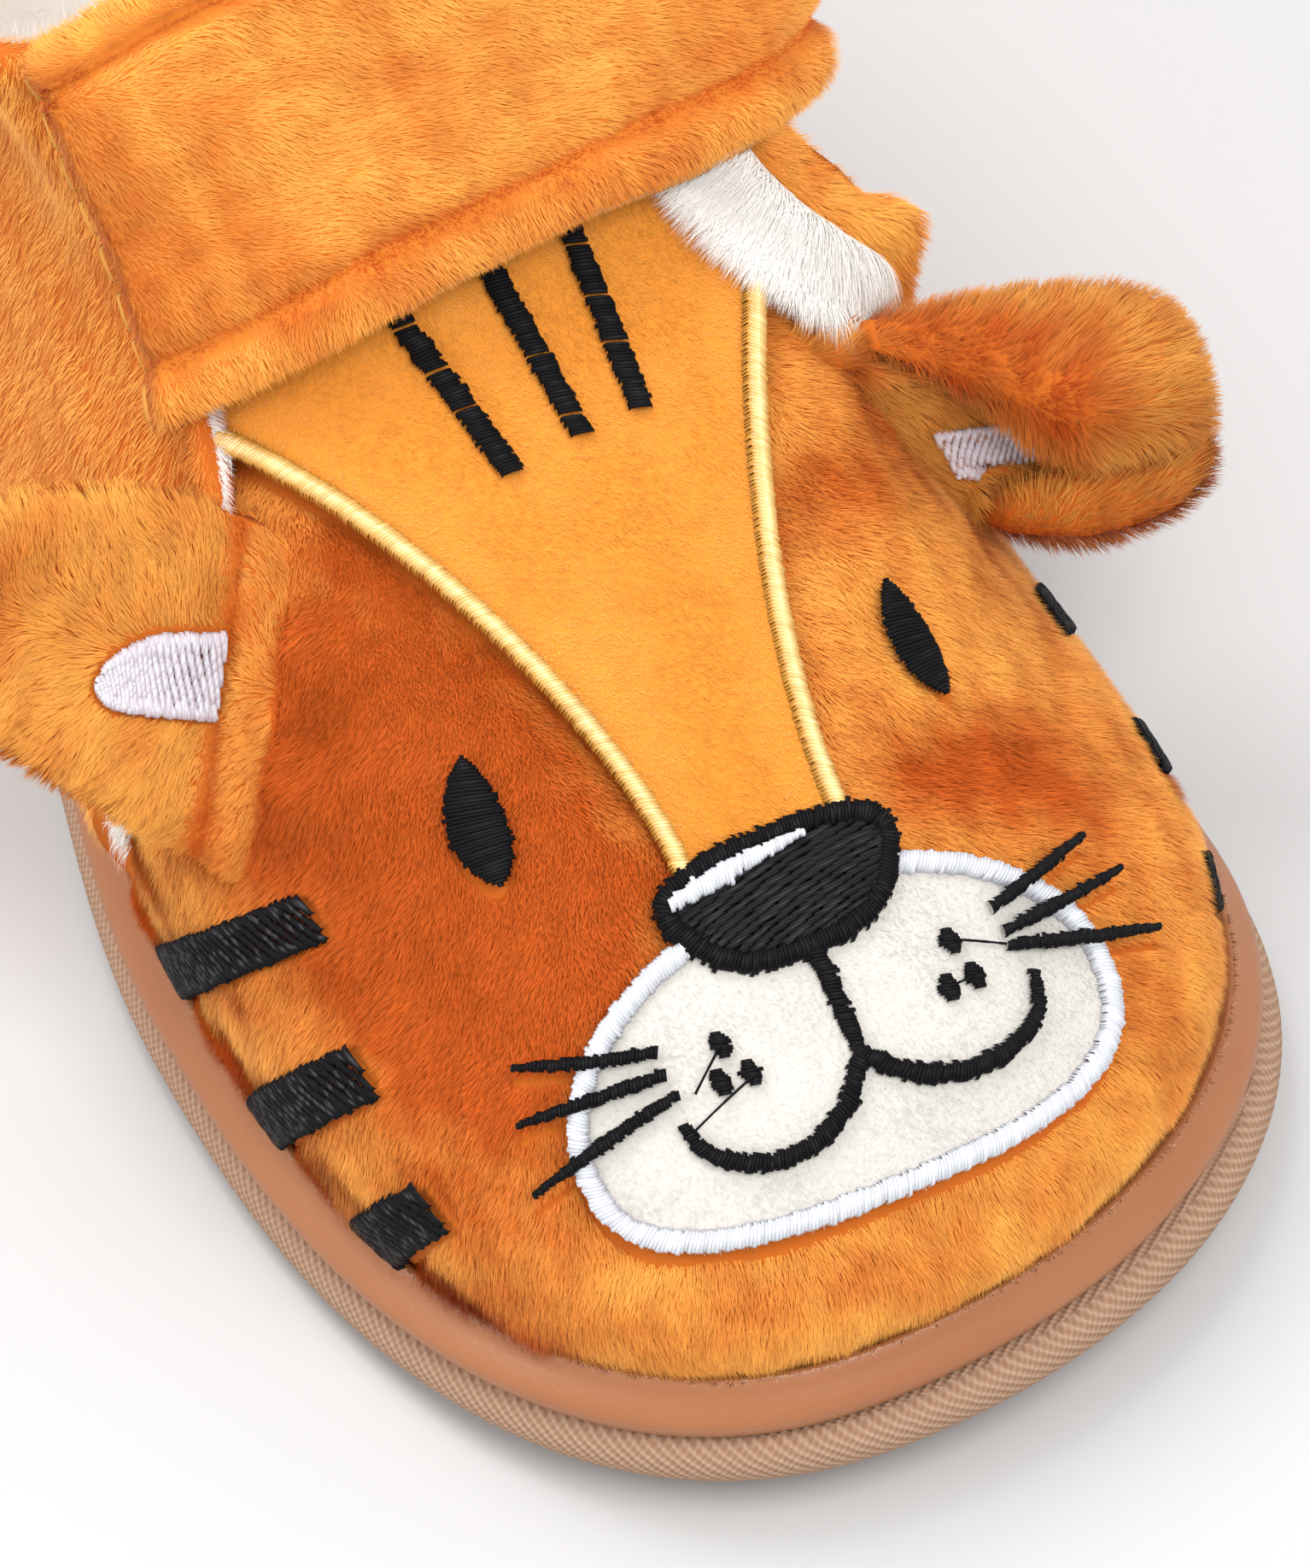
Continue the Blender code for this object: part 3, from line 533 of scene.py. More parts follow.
def bake_cells(piece, count, pattern, points):
    """Each hair gets its own cell of the bake map."""
    side = math.ceil(math.sqrt(count))
    cell = np.stack([np.arange(count) % side, np.arange(count) // side], axis=1) / side
    steps = np.linspace(*BAKE_ENDS, points)
    local = [(edge, step) for step in steps[:-1] for edge in BAKE_EDGES]
    local.append((BAKE_TIP, steps[-1]))
    local = np.array(local)[pattern] / side
    map_corners(piece, "OFBake", cell[:, None, :] + local[None, :, :])


def strands(name, paths, across, widths, colours, normals):
    """Flat hairs that taper to a tip, joined in one mesh. paths is (hairs, points, 3), colours the same.

    They are shaded with the normals given, mostly those of the skin under them, which keeps a pile soft."""
    count, points = paths.shape[:2]
    taper = np.linspace(1.0, 0.0, points)[None, :-1, None]
    side = across[:, None, :] * widths[:, None, None] * taper / 2.0
    body = paths[:, :-1]
    pairs = np.stack([body - side, body + side], axis=2).reshape(count, -1, 3)
    vertices = np.concatenate([pairs, paths[:, -1:]], axis=1)
    each = vertices.shape[1]
    faces = [(2 * k, 2 * k + 1, 2 * k + 3, 2 * k + 2) for k in range(points - 2)]
    tip = (each - 3, each - 2, each - 1)
    pattern = np.array([i for face in (*faces, tip) for i in face])
    loops = (np.arange(count)[:, None] * each + pattern[None, :]).ravel()
    sizes = np.tile([4] * len(faces) + [3], count)
    piece = add_mesh(name, vertices.reshape(-1, 3), loops, sizes)
    piece.data.normals_split_custom_set_from_vertices(np.repeat(normals, each, axis=0))
    tint = np.repeat(colours[:, :-1], 2, axis=1)
    paint(piece, np.concatenate([tint, colours[:, -1:]], axis=1).reshape(-1, 3))
    bake_cells(piece, count, pattern, points)
    return piece


# Materials. Noise scales are per metre
MIX_FIRST, MIX_SECOND = 2, 3
MIX_DARK, MIX_LIGHT, MIX_COLOUR = 6, 7, 2
MOTTLE_DETAIL = 4.0
BUMP_DETAIL = 3.0
MOTTLE_DEPTH = 0.5
TWILL_TURN = 52.0
TWILL_BANDS = (("X", 0.42, 1.2), ("Y", 0.6, 2.0))
TWILL_DETAIL = 2.0
TWILL_DETAIL_SCALE = 1.5
TWILL_STEP_SHARE = 0.35
TWILL_BUMP = 0.7
TWILL_DEPTH = 0.35


def new_material(name, rough, specular=0.5, sheen=0.0):
    material = bpy.data.materials.new(name)
    material.use_nodes = True
    shader = material.node_tree.nodes["Principled BSDF"]
    shader.inputs["Roughness"].default_value = rough
    shader.inputs["Specular IOR Level"].default_value = specular
    shader.inputs["Sheen Weight"].default_value = sheen
    return material, material.node_tree, shader


def add_node(tree, kind, values):
    node = tree.nodes.new("ShaderNode" + kind)
    for name, value in values.items():
        node.inputs[name].default_value = value
    return node


def two_toned(tree, shader, factor, light, dark):
    """The shader's colour goes from dark to light with a factor."""
    blend = tree.nodes.new("ShaderNodeMix")
    blend.data_type = "RGBA"
    blend.inputs[MIX_DARK].default_value = (*dark, 1.0)
    blend.inputs[MIX_LIGHT].default_value = (*light, 1.0)
    tree.links.new(factor, blend.inputs["Factor"])
    tree.links.new(blend.outputs[MIX_COLOUR], shader.inputs["Base Color"])


def bumped(tree, shader, height, strength, depth):
    bump = add_node(tree, "Bump", {"Strength": strength, "Distance": depth * MM})
    tree.links.new(height, bump.inputs["Height"])
    tree.links.new(bump.outputs["Normal"], shader.inputs["Normal"])


def tinted(name, rough, specular=0.5, sheen=0.0):
    """A finish whose colour is the piece's own tint."""
    material, tree, shader = new_material(name, rough, specular, sheen)
    tint = tree.nodes.new("ShaderNodeVertexColor")
    tint.layer_name = "tint"
    tree.links.new(tint.outputs["Color"], shader.inputs["Base Color"])
    return material


def plain(name, colour, rough, specular):
    material, _, shader = new_material(name, rough, specular)
    shader.inputs["Base Color"].default_value = (*colour, 1.0)
    return material


def mottled(name, light, dark, scale, rough, bump, bump_scale, specular, coat=0.0):
    """Two colours mixed by noise, with a fine noise bump."""
    material, tree, shader = new_material(name, rough, specular)
    spot = tree.nodes.new("ShaderNodeTexCoord")
    noise = add_node(tree, "TexNoise", {"Scale": scale, "Detail": MOTTLE_DETAIL})
    fine = add_node(tree, "TexNoise", {"Scale": bump_scale, "Detail": BUMP_DETAIL})
    for texture in (noise, fine):
        tree.links.new(spot.outputs["Object"], texture.inputs["Vector"])
    two_toned(tree, shader, noise.outputs["Fac"], light, dark)
    bumped(tree, shader, fine.outputs["Fac"], bump, MOTTLE_DEPTH)
    shader.inputs["Coat Weight"].default_value = coat
    return material


def woven(name, light, dark, rough, specular):
    """A diagonal twill on a map that runs in millimetres round the sole and up its side."""
    material, tree, shader = new_material(name, rough, specular)
    spot = tree.nodes.new("ShaderNodeUVMap")
    spot.uv_map = "weave"
    turn = add_node(tree, "Mapping", {"Rotation": (0.0, 0.0, math.radians(TWILL_TURN))})
    tree.links.new(spot.outputs["UV"], turn.inputs["Vector"])
    both = add_node(tree, "Mix", {"Factor": TWILL_STEP_SHARE})
    for (direction, scale, blur), socket in zip(TWILL_BANDS, (MIX_FIRST, MIX_SECOND)):
        wave = add_node(tree, "TexWave", {
            "Scale": scale,
            "Distortion": blur,
            "Detail": TWILL_DETAIL,
            "Detail Scale": TWILL_DETAIL_SCALE,
        })
        wave.wave_type = "BANDS"
        wave.bands_direction = direction
        tree.links.new(turn.outputs["Vector"], wave.inputs["Vector"])
        tree.links.new(wave.outputs["Fac"], both.inputs[socket])
    two_toned(tree, shader, both.outputs[0], light, dark)
    bumped(tree, shader, both.outputs[0], TWILL_BUMP, TWILL_DEPTH)
    return material


CLOTH = {"scale": 160.0, "rough": 0.9, "bump": 0.3, "bump_scale": 2500.0, "specular": 0.2}
VELVET = {**CLOTH, "scale": 200.0}
FLEECE = {"scale": 260.0, "rough": 0.95, "bump": 0.9, "bump_scale": 900.0, "specular": 0.2}
SHEET = {"scale": 60.0, "rough": 0.42, "bump": 0.12, "bump_scale": 1600.0, "specular": 0.45, "coat": 0.08}
HAIR = tinted("plush hair", rough=0.7, specular=0.15, sheen=0.05)
CREAM_HAIR = tinted("cream hair", rough=0.6, specular=0.3, sheen=0.1)
SATIN = tinted("satin thread", rough=0.38)
BLACK_SATIN = tinted("black satin thread", rough=0.5, specular=0.08)
GOLD_SATIN = tinted("gold satin thread", rough=0.24, specular=0.9)
DARK_CLOTH = plain("dark base", (0.008, 0.008, 0.009), rough=0.9, specular=0.1)
# Painted shade: the backings are darker than the pile's tips, as the shadow between the hairs.
BACKING = mottled("plush backing", (0.58, 0.15, 0.016), (0.48, 0.095, 0.008), **CLOTH)
STRAP_BACKING = mottled("strap backing", (0.74, 0.24, 0.03), (0.64, 0.175, 0.02), **CLOTH)
LINING = mottled("cream lining", (0.88, 0.84, 0.78), (0.72, 0.66, 0.60), **FLEECE)
VELOUR_BASE = mottled("velour base", (0.70, 0.255, 0.03), (0.66, 0.235, 0.026), **VELVET)
MUZZLE_BASE = mottled("muzzle base", (0.61, 0.58, 0.535), (0.595, 0.56, 0.515), **VELVET)
RAND = mottled("rand sheet", (0.37, 0.142, 0.053), (0.32, 0.11, 0.037), **SHEET)
WEAVE = woven("outsole weave", (0.48, 0.312, 0.217), (0.305, 0.165, 0.092), rough=0.85, specular=0.25)

# Sole. Each row of a side is a height and how far the side stands out there
OUTSOLE_SIDE = np.array((
    (0.0, -2.2), (0.5, -1.1), (1.2, -0.4), (2.2, 0.1), (3.2, 0.3), (4.2, 0.1), (5.0, -0.3), (5.6, -0.9),
    (6.0, -1.8),
))
MIDSOLE_SIDE = np.array((
    (0.0, -1.8), (0.4, -0.9), (0.9, -0.4), (1.7, -0.1), (2.4, 0.0), (3.2, -0.3), (4.0, -0.9), (4.6, -1.5),
    (5.3, -2.1), (6.0, -2.5), (6.2, -3.0), (5.6, -3.4),
))
SOLE_STRIPS = 110


def sole_ring(outline, out, height, base):
    """One line round the sole, from the heel over the lateral side and the toe back to the heel."""
    stepped = let_out(outline, out)
    y = stations(stepped, SOLE_STRIPS)
    lateral, medial = two_sides(stepped, y, base + height + spring(y))
    return np.vstack([lateral[::-1], medial[1:-1]])


def map_weave(piece, rings, heights, wall_corners):
    """The weave's map: round and up the side on the walls, in plan on the top and the bottom."""
    rows, columns = rings.shape[:2]
    vertices = rings.reshape(-1, 3)
    runs = run_lengths(rings[rows // 2])
    last_step = runs[-1] - runs[-2]
    corners = np.zeros(len(piece.data.loops), dtype=int)
    piece.data.loops.foreach_get("vertex_index", corners)
    column = corners[:wall_corners].reshape(-1, 4) % columns
    closing = (column == columns - 1).any(axis=1, keepdims=True) & (column == 0)
    around = np.tile(runs, rows)[corners]
    around[:wall_corners] += closing.ravel() * (runs[-1] + last_step)
    on_wall = np.arange(len(corners)) < wall_corners
    u = np.where(on_wall, around, vertices[corners, 0])
    v = np.where(on_wall, np.repeat(heights, columns)[corners], vertices[corners, 1])
    map_corners(piece, "weave", np.stack([u, v], axis=1))


def sole_piece(name, outline, side, base):
    rings = np.stack([sole_ring(outline, out, height, base) for height, out in side])
    rows, columns = rings.shape[:2]
    walls = grid_loops(rows, columns, closed=True, flip=True)
    i = np.arange(1, SOLE_STRIPS - 1)
    lateral = SOLE_STRIPS - i
    medial = SOLE_STRIPS + i
    strips = np.stack([lateral, lateral - 1, medial + 1, medial], axis=1)
    toe = np.array([SOLE_STRIPS, SOLE_STRIPS - 1, SOLE_STRIPS + 1])
    heel = np.array([0, columns - 1, 1])
    top = (rows - 1) * columns
    quads = np.vstack([walls, strips[:, ::-1], strips + top])
    triangles = np.vstack([toe[::-1], heel[::-1], toe + top, heel + top])
    loops = np.concatenate([quads.ravel(), triangles.ravel()])
    sizes = np.concatenate([np.full(len(quads), 4), np.full(len(triangles), 3)])
    piece = add_mesh(name, rings.reshape(-1, 3), loops, sizes)
    map_weave(piece, rings, side[:, 0], walls.size)
    return piece


place(sole_piece("outsole_cloth", OUTSOLE_OUTLINE, OUTSOLE_SIDE, 0.0), WEAVE, ["outsole"])
place(sole_piece("rand_band", MIDSOLE_OUTLINE, MIDSOLE_SIDE, MIDSOLE_BASE), RAND, ["midsole"])
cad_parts["insole"].data.materials.clear()
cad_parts["insole"].data.materials.append(LINING)

# Upper shell
SHELL_STEP = 2


def shell_grid(vamp, quarter):
    """Every other point of the vamp and then the quarter, once round the shoe."""
    step = SHELL_STEP
    return np.concatenate([vamp.points[::step, ::step], quarter.points[::step, ::step]], axis=1)


def make_shell():
    outer = shell_grid(VAMP_BACKING, QUARTER_BACKING)
    inner = shell_grid(VAMP_INNER, QUARTER_INNER)
    rows, columns = outer.shape[:2]
    count = rows * columns
    seams = ((len(VAMP_SHARES) - 1) // SHELL_STEP, columns - 1)
    first = int(round(SLIT_LEVEL / (LEVEL_ROWS[1] * SHELL_STEP)))
    quads = grid_loops(rows, columns, closed=True)
    row = np.repeat(np.arange(rows - 1), columns)
    column = np.tile(np.arange(columns), rows - 1)
    quads = quads[~(np.isin(column, seams) & (row >= first))]
    c = np.arange(columns)
    d = (c + 1) % columns
    upper = (rows - 1) * columns
    closed = ~np.isin(c, seams)
    rims = [
        np.stack([d, c, c + count, d + count], axis=1),
        np.stack([c, d, d + count, c + count], axis=1)[closed] + upper,
    ]
    r = np.arange(first, rows - 1) * columns
    low = first * columns
    for left in seams:
        right = (left + 1) % columns
        rims.append(np.stack([r + columns, r, r + count, r + columns + count], axis=1) + left)
        rims.append(np.stack([r, r + columns, r + columns + count, r + count], axis=1) + right)
        rims.append(np.array([[low + left, low + right, low + right + count, low + left + count]]))
    inside = quads[:, ::-1] + count
    faces = np.vstack([quads, *rims, inside])
    piece = add_quads("upper_shell", np.vstack([outer.reshape(-1, 3), inner.reshape(-1, 3)]), faces)
    piece.data.materials.append(BACKING)
    place(piece, LINING, ["upper"])
    slots = np.zeros(len(faces), dtype=np.int32)
    slots[-len(inside):] = 1
    piece.data.polygons.foreach_set("material_index", slots)


make_shell()

# Pile. Hairs lean by degrees off the surface, and a share of their tips is gathered in locks
# Painted shade: roots are darker than tips, standing in for the shade deep in the pile. The dark colours,
# used where the tone is dark and the hairs stand up, are partly painted shade of the upright pile.
Colours = namedtuple("Colours", "light_tip dark_tip light_root dark_root")
PLUSH_COLOURS = Colours(*np.array((
    (0.98, 0.47, 0.09),
    (0.68, 0.105, 0.007),
    (0.82, 0.305, 0.044),
    (0.51, 0.068, 0.005),
)))
VELOUR_COLOURS = Colours(*np.array((
    (0.82, 0.385, 0.085),
    (0.76, 0.305, 0.04),
    (0.76, 0.305, 0.04),
    (0.70, 0.26, 0.033),
)))
MUZZLE_TIP = np.array((0.64, 0.615, 0.575))
MUZZLE_ROOT = np.array((0.61, 0.58, 0.535))
MUZZLE_DARKER = 0.97
MUZZLE_COLOURS = Colours(MUZZLE_TIP, MUZZLE_TIP * MUZZLE_DARKER, MUZZLE_ROOT, MUZZLE_ROOT)
CREAM_TIP = np.array((0.86, 0.83, 0.79))
CREAM_ROOT = np.array((0.74, 0.68, 0.62))
Pile = namedtuple(
    "Pile",
    "length width lean_light lean_dark stray lock gather uneven blade waves colours material slot",
    defaults=(0.06, PLUSH_COLOURS, HAIR, "plush"),
)
PLUSH = Pile(1.65, 0.10, 28.0, 60.0, 0.20, 0.8, 0.18, 0.05, 0.28)
STRAP_PLUSH = Pile(1.8, 0.11, 26.0, 52.0, 0.18, 0.8, 0.10, 0.04, 0.22)
EAR_PLUSH = Pile(2.7, 0.12, 25.0, 46.0, 0.18, 1.1, 0.38, 0.07, 0.32)
VELOUR = Pile(0.8, 0.15, 30.0, 42.0, 0.35, 0.8, 0.0, 0.015, 0.06, 0.015, VELOUR_COLOURS, HAIR, "velour")
MUZZLE_PILE = Pile(
    0.75, 0.2, 20.0, 30.0, 0.5, 0.8, 0.0, 0.012, 0.05, 0.015, MUZZLE_COLOURS, CREAM_HAIR, "white_pile"
)
SPARE = 1.1
SPARE_CHOSEN = 2.0
SWIRL_WAVE = 8.0
SWIRL_SEED = 1
SWIRL_TURN = 0.35
SHADE_WAVE = 2.6
SHADE_SEED = 3
LEAN_SPREAD = 6.0
HAIR_LENGTHS = (0.7, 1.12)
HAIR_WIDTHS = (0.75, 1.25)
ROOT_SUNK = 0.15
LOCK_SHIFT = 0.6
LOCK_WAVE = 4.0
LOCK_SEED = 30


def scatter(skin, count, rng, keep=None):
    """Random places on a skin, even by area; keep says which places may carry hairs."""
    p = skin.points
    cross = np.cross(p[1:, :-1] - p[:-1, :-1], p[:-1, 1:] - p[:-1, :-1])
    area = np.linalg.norm(cross, axis=-1)
    tries = int(count * (SPARE if keep is None else SPARE_CHOSEN))
    cells = rng.choice(area.size, size=tries, p=(area / area.sum()).ravel())
    r, c = np.unravel_index(cells, area.shape)
    u = rng.random((tries, 1))
    v = rng.random((tries, 1))
    flow = np.zeros(p.shape) if skin.flow is None else skin.flow
    data = np.concatenate([p, skin.normals, skin.level[..., None], skin.share[..., None], flow], axis=-1)
    read = between(data, r, c, u, v)
    spots = Skin(read[:, :3], unit(read[:, 3:6]), read[:, 6], read[:, 7], read[:, 8:])
    if keep is not None:
        kept = keep(spots)
        spots = Skin(*(values[kept] for values in spots))
    return Skin(*(values[:count] for values in spots))


def turned(nap, normals, angles):
    """A direction in the surface, turned about the normal."""
    side = np.cross(normals, nap)
    return nap * np.cos(angles)[:, None] + side * np.sin(angles)[:, None]


def in_surface(vectors, normals):
    """The part of one or many vectors that lies in the surface."""
    return unit(vectors - np.sum(vectors * normals, axis=-1, keepdims=True) * normals)


def gathered(roots, tips, lock, gather):
    """Tips drawn together in locks about as wide as lock."""
    shift = np.stack([wander(roots, lock * LOCK_WAVE, LOCK_SEED + axis) for axis in range(3)], axis=1)
    cells = np.floor((roots + LOCK_SHIFT * lock * shift) / lock).astype(int)
    _, group = np.unique(cells, axis=0, return_inverse=True)
    group = group.ravel()
    size = np.bincount(group)
    middle = np.stack([np.bincount(group, tips[:, axis]) / size for axis in range(3)], axis=1)
    return mix(tips, middle[group], gather)


def add_pile(name, spots, nap, tone, pile, rng, scale=1.0):
    """Short straight hairs over a skin: they lie along the nap, and stand up where the tone is dark."""
    count = len(spots.points)
    swirl = wander(spots.points, SWIRL_WAVE, SWIRL_SEED) * SWIRL_TURN
    nap = turned(in_surface(nap, spots.normals), spots.normals, swirl + rng.normal(0.0, pile.stray, count))
    lean = np.radians(mix(pile.lean_light, pile.lean_dark, tone) + rng.normal(0.0, LEAN_SPREAD, count))
    along = nap * np.cos(lean)[:, None] + spots.normals * np.sin(lean)[:, None]
    length = pile.length * rng.uniform(*HAIR_LENGTHS, count) * scale
    root = spots.points - spots.normals * ROOT_SUNK
    tip = root + along * length[:, None]
    if pile.gather:
        tip = gathered(root, tip, pile.lock, pile.gather)
        along = unit(tip - root)
    across = unit(np.cross(along, spots.normals))
    waves = pile.waves * wander(spots.points, SHADE_WAVE, SHADE_SEED)
    shade = (1.0 + rng.normal(0.0, pile.uneven, count) + waves)[:, None]
    light_tip, dark_tip, light_root, dark_root = pile.colours
    dark = tone[:, None]
    # Painted shade: the root end of each hair gets the darker root colour.
    root_tint = mix(light_root, dark_root, dark) * shade
    tip_tint = mix(light_tip, dark_tip, dark) * shade
    tint = np.stack([root_tint, tip_tint], axis=1)
    widths = pile.width * rng.uniform(*HAIR_WIDTHS, count)
    normals = unit(mix(spots.normals, np.cross(across, along), pile.blade))
    piece = strands(name, np.stack([root, tip], axis=1), across, widths, tint, normals)
    place(piece, pile.material)


# Places on the vamp, read from above or from one side
Guide = namedtuple("Guide", "tree corners points normals")
HIGH = 120.0
CORNER_BLUR = 0.01


def make_guide(points, normals, closed=False):
    """A surface to drop things on, with its own smooth normals."""
    corners = grid_loops(*points.shape[:2], closed=closed)
    places = points.reshape(-1, 3)
    tree = BVHTree.FromPolygons([Vector(p) for p in places], corners.tolist())
    return Guide(tree, corners, places, normals.reshape(-1, 3))


VAMP_FINE = pattern_skin(np.linspace(0.0, TOP, 181), np.linspace(-1.0, 1.0, 193), vamp_runs)
VAMP_GUIDE = make_guide(VAMP_FINE.points, VAMP_FINE.normals)


def cast(guide, starts, direction):
    """Where rays meet a guide, or else the guide's nearest places to their ends."""
    points = []
    faces = []
    for start in starts:
        hit, _, face, _ = guide.tree.ray_cast(Vector(start), Vector(direction))
        if hit is None:
            hit, _, face, _ = guide.tree.find_nearest(Vector(start) + Vector(direction) * HIGH)
        points.append(hit)
        faces.append(face)
    points = np.array(points)
    corners = guide.corners[faces]
    away = np.linalg.norm(guide.points[corners] - points[:, None, :], axis=-1)
    weight = 1.0 / (away**2 + CORNER_BLUR)
    return points, unit(np.sum(guide.normals[corners] * weight[..., None], axis=1))


def drape(x, y):
    starts = np.stack([x, y, np.full(len(x), HIGH)], axis=1)
    return cast(VAMP_GUIDE, starts, (0.0, 0.0, -1.0))


def side_drape(side, y, z):
    starts = np.stack([np.full(len(y), side * HIGH), y, z], axis=1)
    return cast(VAMP_GUIDE, starts, (-side, 0.0, 0.0))


# Embroidery. A stitch's rows run along it and its columns across it
BLACK_THREAD = np.array((0.005, 0.005, 0.006))
NOSE_THREAD = np.array((0.013, 0.013, 0.013))
WHITE_THREAD = np.array((0.60, 0.61, 0.66))
GOLD_THREAD = np.array((0.60, 0.31, 0.055))
# Painted highlight of the gold cord's stitches.
GOLD_PAINTED_HIGHLIGHT = np.array((0.95, 0.73, 0.32))
DULL_GOLD_THREAD = GOLD_THREAD * (0.9, 0.72, 0.5)
PATCH_THREAD = np.array((0.52, 0.44, 0.48))
TAN_THREAD = np.array((0.58, 0.26, 0.05))
THREAD_WIDTH = 0.40
THREAD_PITCH = 0.30
STITCH_STEPS = np.array((0.0, 0.10, 0.5, 0.90, 1.0))
STITCH_RISE = np.array((-0.35, 0.72, 1.0, 0.72, -0.35))
# Painted shade: each stitch is darker towards both ends, where it sinks into the cloth.
PAINTED_STITCH_END_SHADE = np.array((0.55, 0.92, 1.0, 0.92, 0.55))
STITCH_MIDDLE = 2
SECTION_SIDE = np.array((-0.5, -0.24, 0.24, 0.5))
SECTION_RISE = np.array((-0.15, 0.42, 0.42, -0.15))
SECTION_CROWN = 1
STITCH_WIDTHS = (0.85, 1.15)
STITCH_UNEVEN = 0.07
PAINTED_HIGHLIGHT_SHARES = (0.35, 1.0)
# Painted glints: a share of the stitches get a lighter grey on the crown of their middle.
PAINTED_GLINT_SHARE = 0.35
PAINTED_GLINT = np.array((0.055, 0.055, 0.059))
TANGENT_REACH = 0.4
FEWEST_THREADS = 3
PATH_POINTS = 60
ROW_SHIFT = 0.382
TRIM_SEED = 40
TRIM = dice(TRIM_SEED)
# The last two fields of a thread paint light: a lighter grey on the crown of some stitches as painted glints,
# and a lighter colour mixed into the middle of every stitch as a painted highlight.
Thread = namedtuple("Thread", "width crown colour material slot glints glow", defaults=(0.0, None))
BLACK_LINE = Thread(THREAD_WIDTH, 0.42, BLACK_THREAD, BLACK_SATIN, "black_thread", 0.3)
BLACK_JUMP = Thread(0.22, 0.05, BLACK_THREAD, BLACK_SATIN, "black_thread")
BLACK_STRIPE = Thread(0.52, 0.28, BLACK_THREAD, BLACK_SATIN, "black_thread", 0.9)
NOSE_FILL = Thread(0.36, 0.2, NOSE_THREAD, BLACK_SATIN, "black_thread", 0.8)
NOSE_BORDER = Thread(THREAD_WIDTH, 0.7, BLACK_THREAD, BLACK_SATIN, "black_thread", 0.3)
NOSE_SHINE = Thread(THREAD_WIDTH, 0.45, WHITE_THREAD, SATIN, "white_pile")
MUZZLE_BORDER = Thread(THREAD_WIDTH, 0.75, WHITE_THREAD, SATIN, "white_pile")
GOLD_CORD = Thread(THREAD_WIDTH, 0.95, GOLD_THREAD, GOLD_SATIN, "gold_thread", glow=GOLD_PAINTED_HIGHLIGHT)
STRAP_SEAM = Thread(0.42, 0.25, TAN_THREAD, HAIR, "plush")
STRAP_TWIST = Thread(0.5, 0.3, DULL_GOLD_THREAD, GOLD_SATIN, "gold_thread")
# The ear patch's stitches carry white in their middles as a painted highlight.
EAR_PATCH = Thread(0.5, 0.25, PATCH_THREAD, SATIN, "lining", glow=WHITE_THREAD)


def stitches(name, lines, thread, replaced=()):
    """Threads along lines, each crowned and sunk at both ends, joined in one mesh."""
    starts, ends, normals = lines
    count = len(starts)
    along = unit(ends - starts)
    across = unit(np.cross(normals, along))
    rise = normals[:, None, :] * thread.crown * STITCH_RISE[None, :, None]
    middle = mix(starts[:, None, :], ends[:, None, :], STITCH_STEPS[None, :, None]) + rise
    widths = thread.width * TRIM.uniform(*STITCH_WIDTHS, count)[:, None, None, None]
    side = across[:, None, None, :] * SECTION_SIDE[None, None, :, None] * widths
    swell = normals[:, None, None, :] * SECTION_RISE[None, None, :, None] * widths
    vertices = middle[:, :, None, :] + side + swell
    rows, columns = len(STITCH_STEPS), len(SECTION_SIDE)
    pattern = grid_loops(rows, columns)
    quads = np.arange(count)[:, None, None] * rows * columns + pattern[None]
    piece = add_quads(name, vertices, quads.reshape(-1, 4))
    shade = (1.0 + TRIM.normal(0.0, STITCH_UNEVEN, count))[:, None, None, None]
    tint = thread.colour[None, None, None, :] * shade * PAINTED_STITCH_END_SHADE[None, :, None, None]
    tint = np.broadcast_to(tint, (count, rows, columns, 3)).copy()
    # Painted highlight: the middle of each stitch is mixed towards a lighter colour.
    if thread.glow is not None:
        share = TRIM.uniform(*PAINTED_HIGHLIGHT_SHARES, count)[:, None, None]
        tint[:, STITCH_MIDDLE] = mix(tint[:, STITCH_MIDDLE], thread.glow, share)
    # Painted glints on some of the stitches.
    if thread.glints:
        painted_glint_threads = TRIM.random(count) < PAINTED_GLINT_SHARE
        tint[painted_glint_threads, STITCH_MIDDLE, SECTION_CROWN] = PAINTED_GLINT * thread.glints
    paint(piece, tint.reshape(-1, 3))
    place(piece, thread.material, replaced)


def satin(points, normals, half_widths, pitch=THREAD_PITCH, slant=0.25, ragged=0.15):
    """Starts, ends and normals of threads laid across a path."""
    runs = run_lengths(points)
    count = max(FEWEST_THREADS, int(runs[-1] / pitch))
    at = (np.arange(count) + 0.5) / count * runs[-1]
    normal = unit(read_line(normals, runs, at))
    ahead = read_line(points, runs, at + TANGENT_REACH)
    tangent = unit(ahead - read_line(points, runs, at - TANGENT_REACH))
    side = unit(np.cross(normal, tangent))
    half = np.interp(at, runs, np.broadcast_to(half_widths, len(points)))
    left = half * (1.0 + TRIM.normal(0.0, ragged, count))
    right = half * (1.0 + TRIM.normal(0.0, ragged, count))
    starts = read_line(points, runs, at - slant * half) - side * left[:, None]
    ends = read_line(points, runs, at + slant * half) + side * right[:, None]
    return starts, ends, normal


def joined(parts):
    return [np.concatenate(values) for values in zip(*parts)]


def plan_satin(corners, half_widths, lift, **settings):
    """A satin column along a line drawn in plan on the vamp."""
    path = smooth_path(corners, PATH_POINTS)
    points, normals = drape(path[:, 0], path[:, 1])
    shares = np.linspace(0.0, 1.0, PATH_POINTS)
    widths = np.interp(shares, np.linspace(0.0, 1.0, len(half_widths)), half_widths)
    return satin(points + normals * lift, normals, widths, **settings)


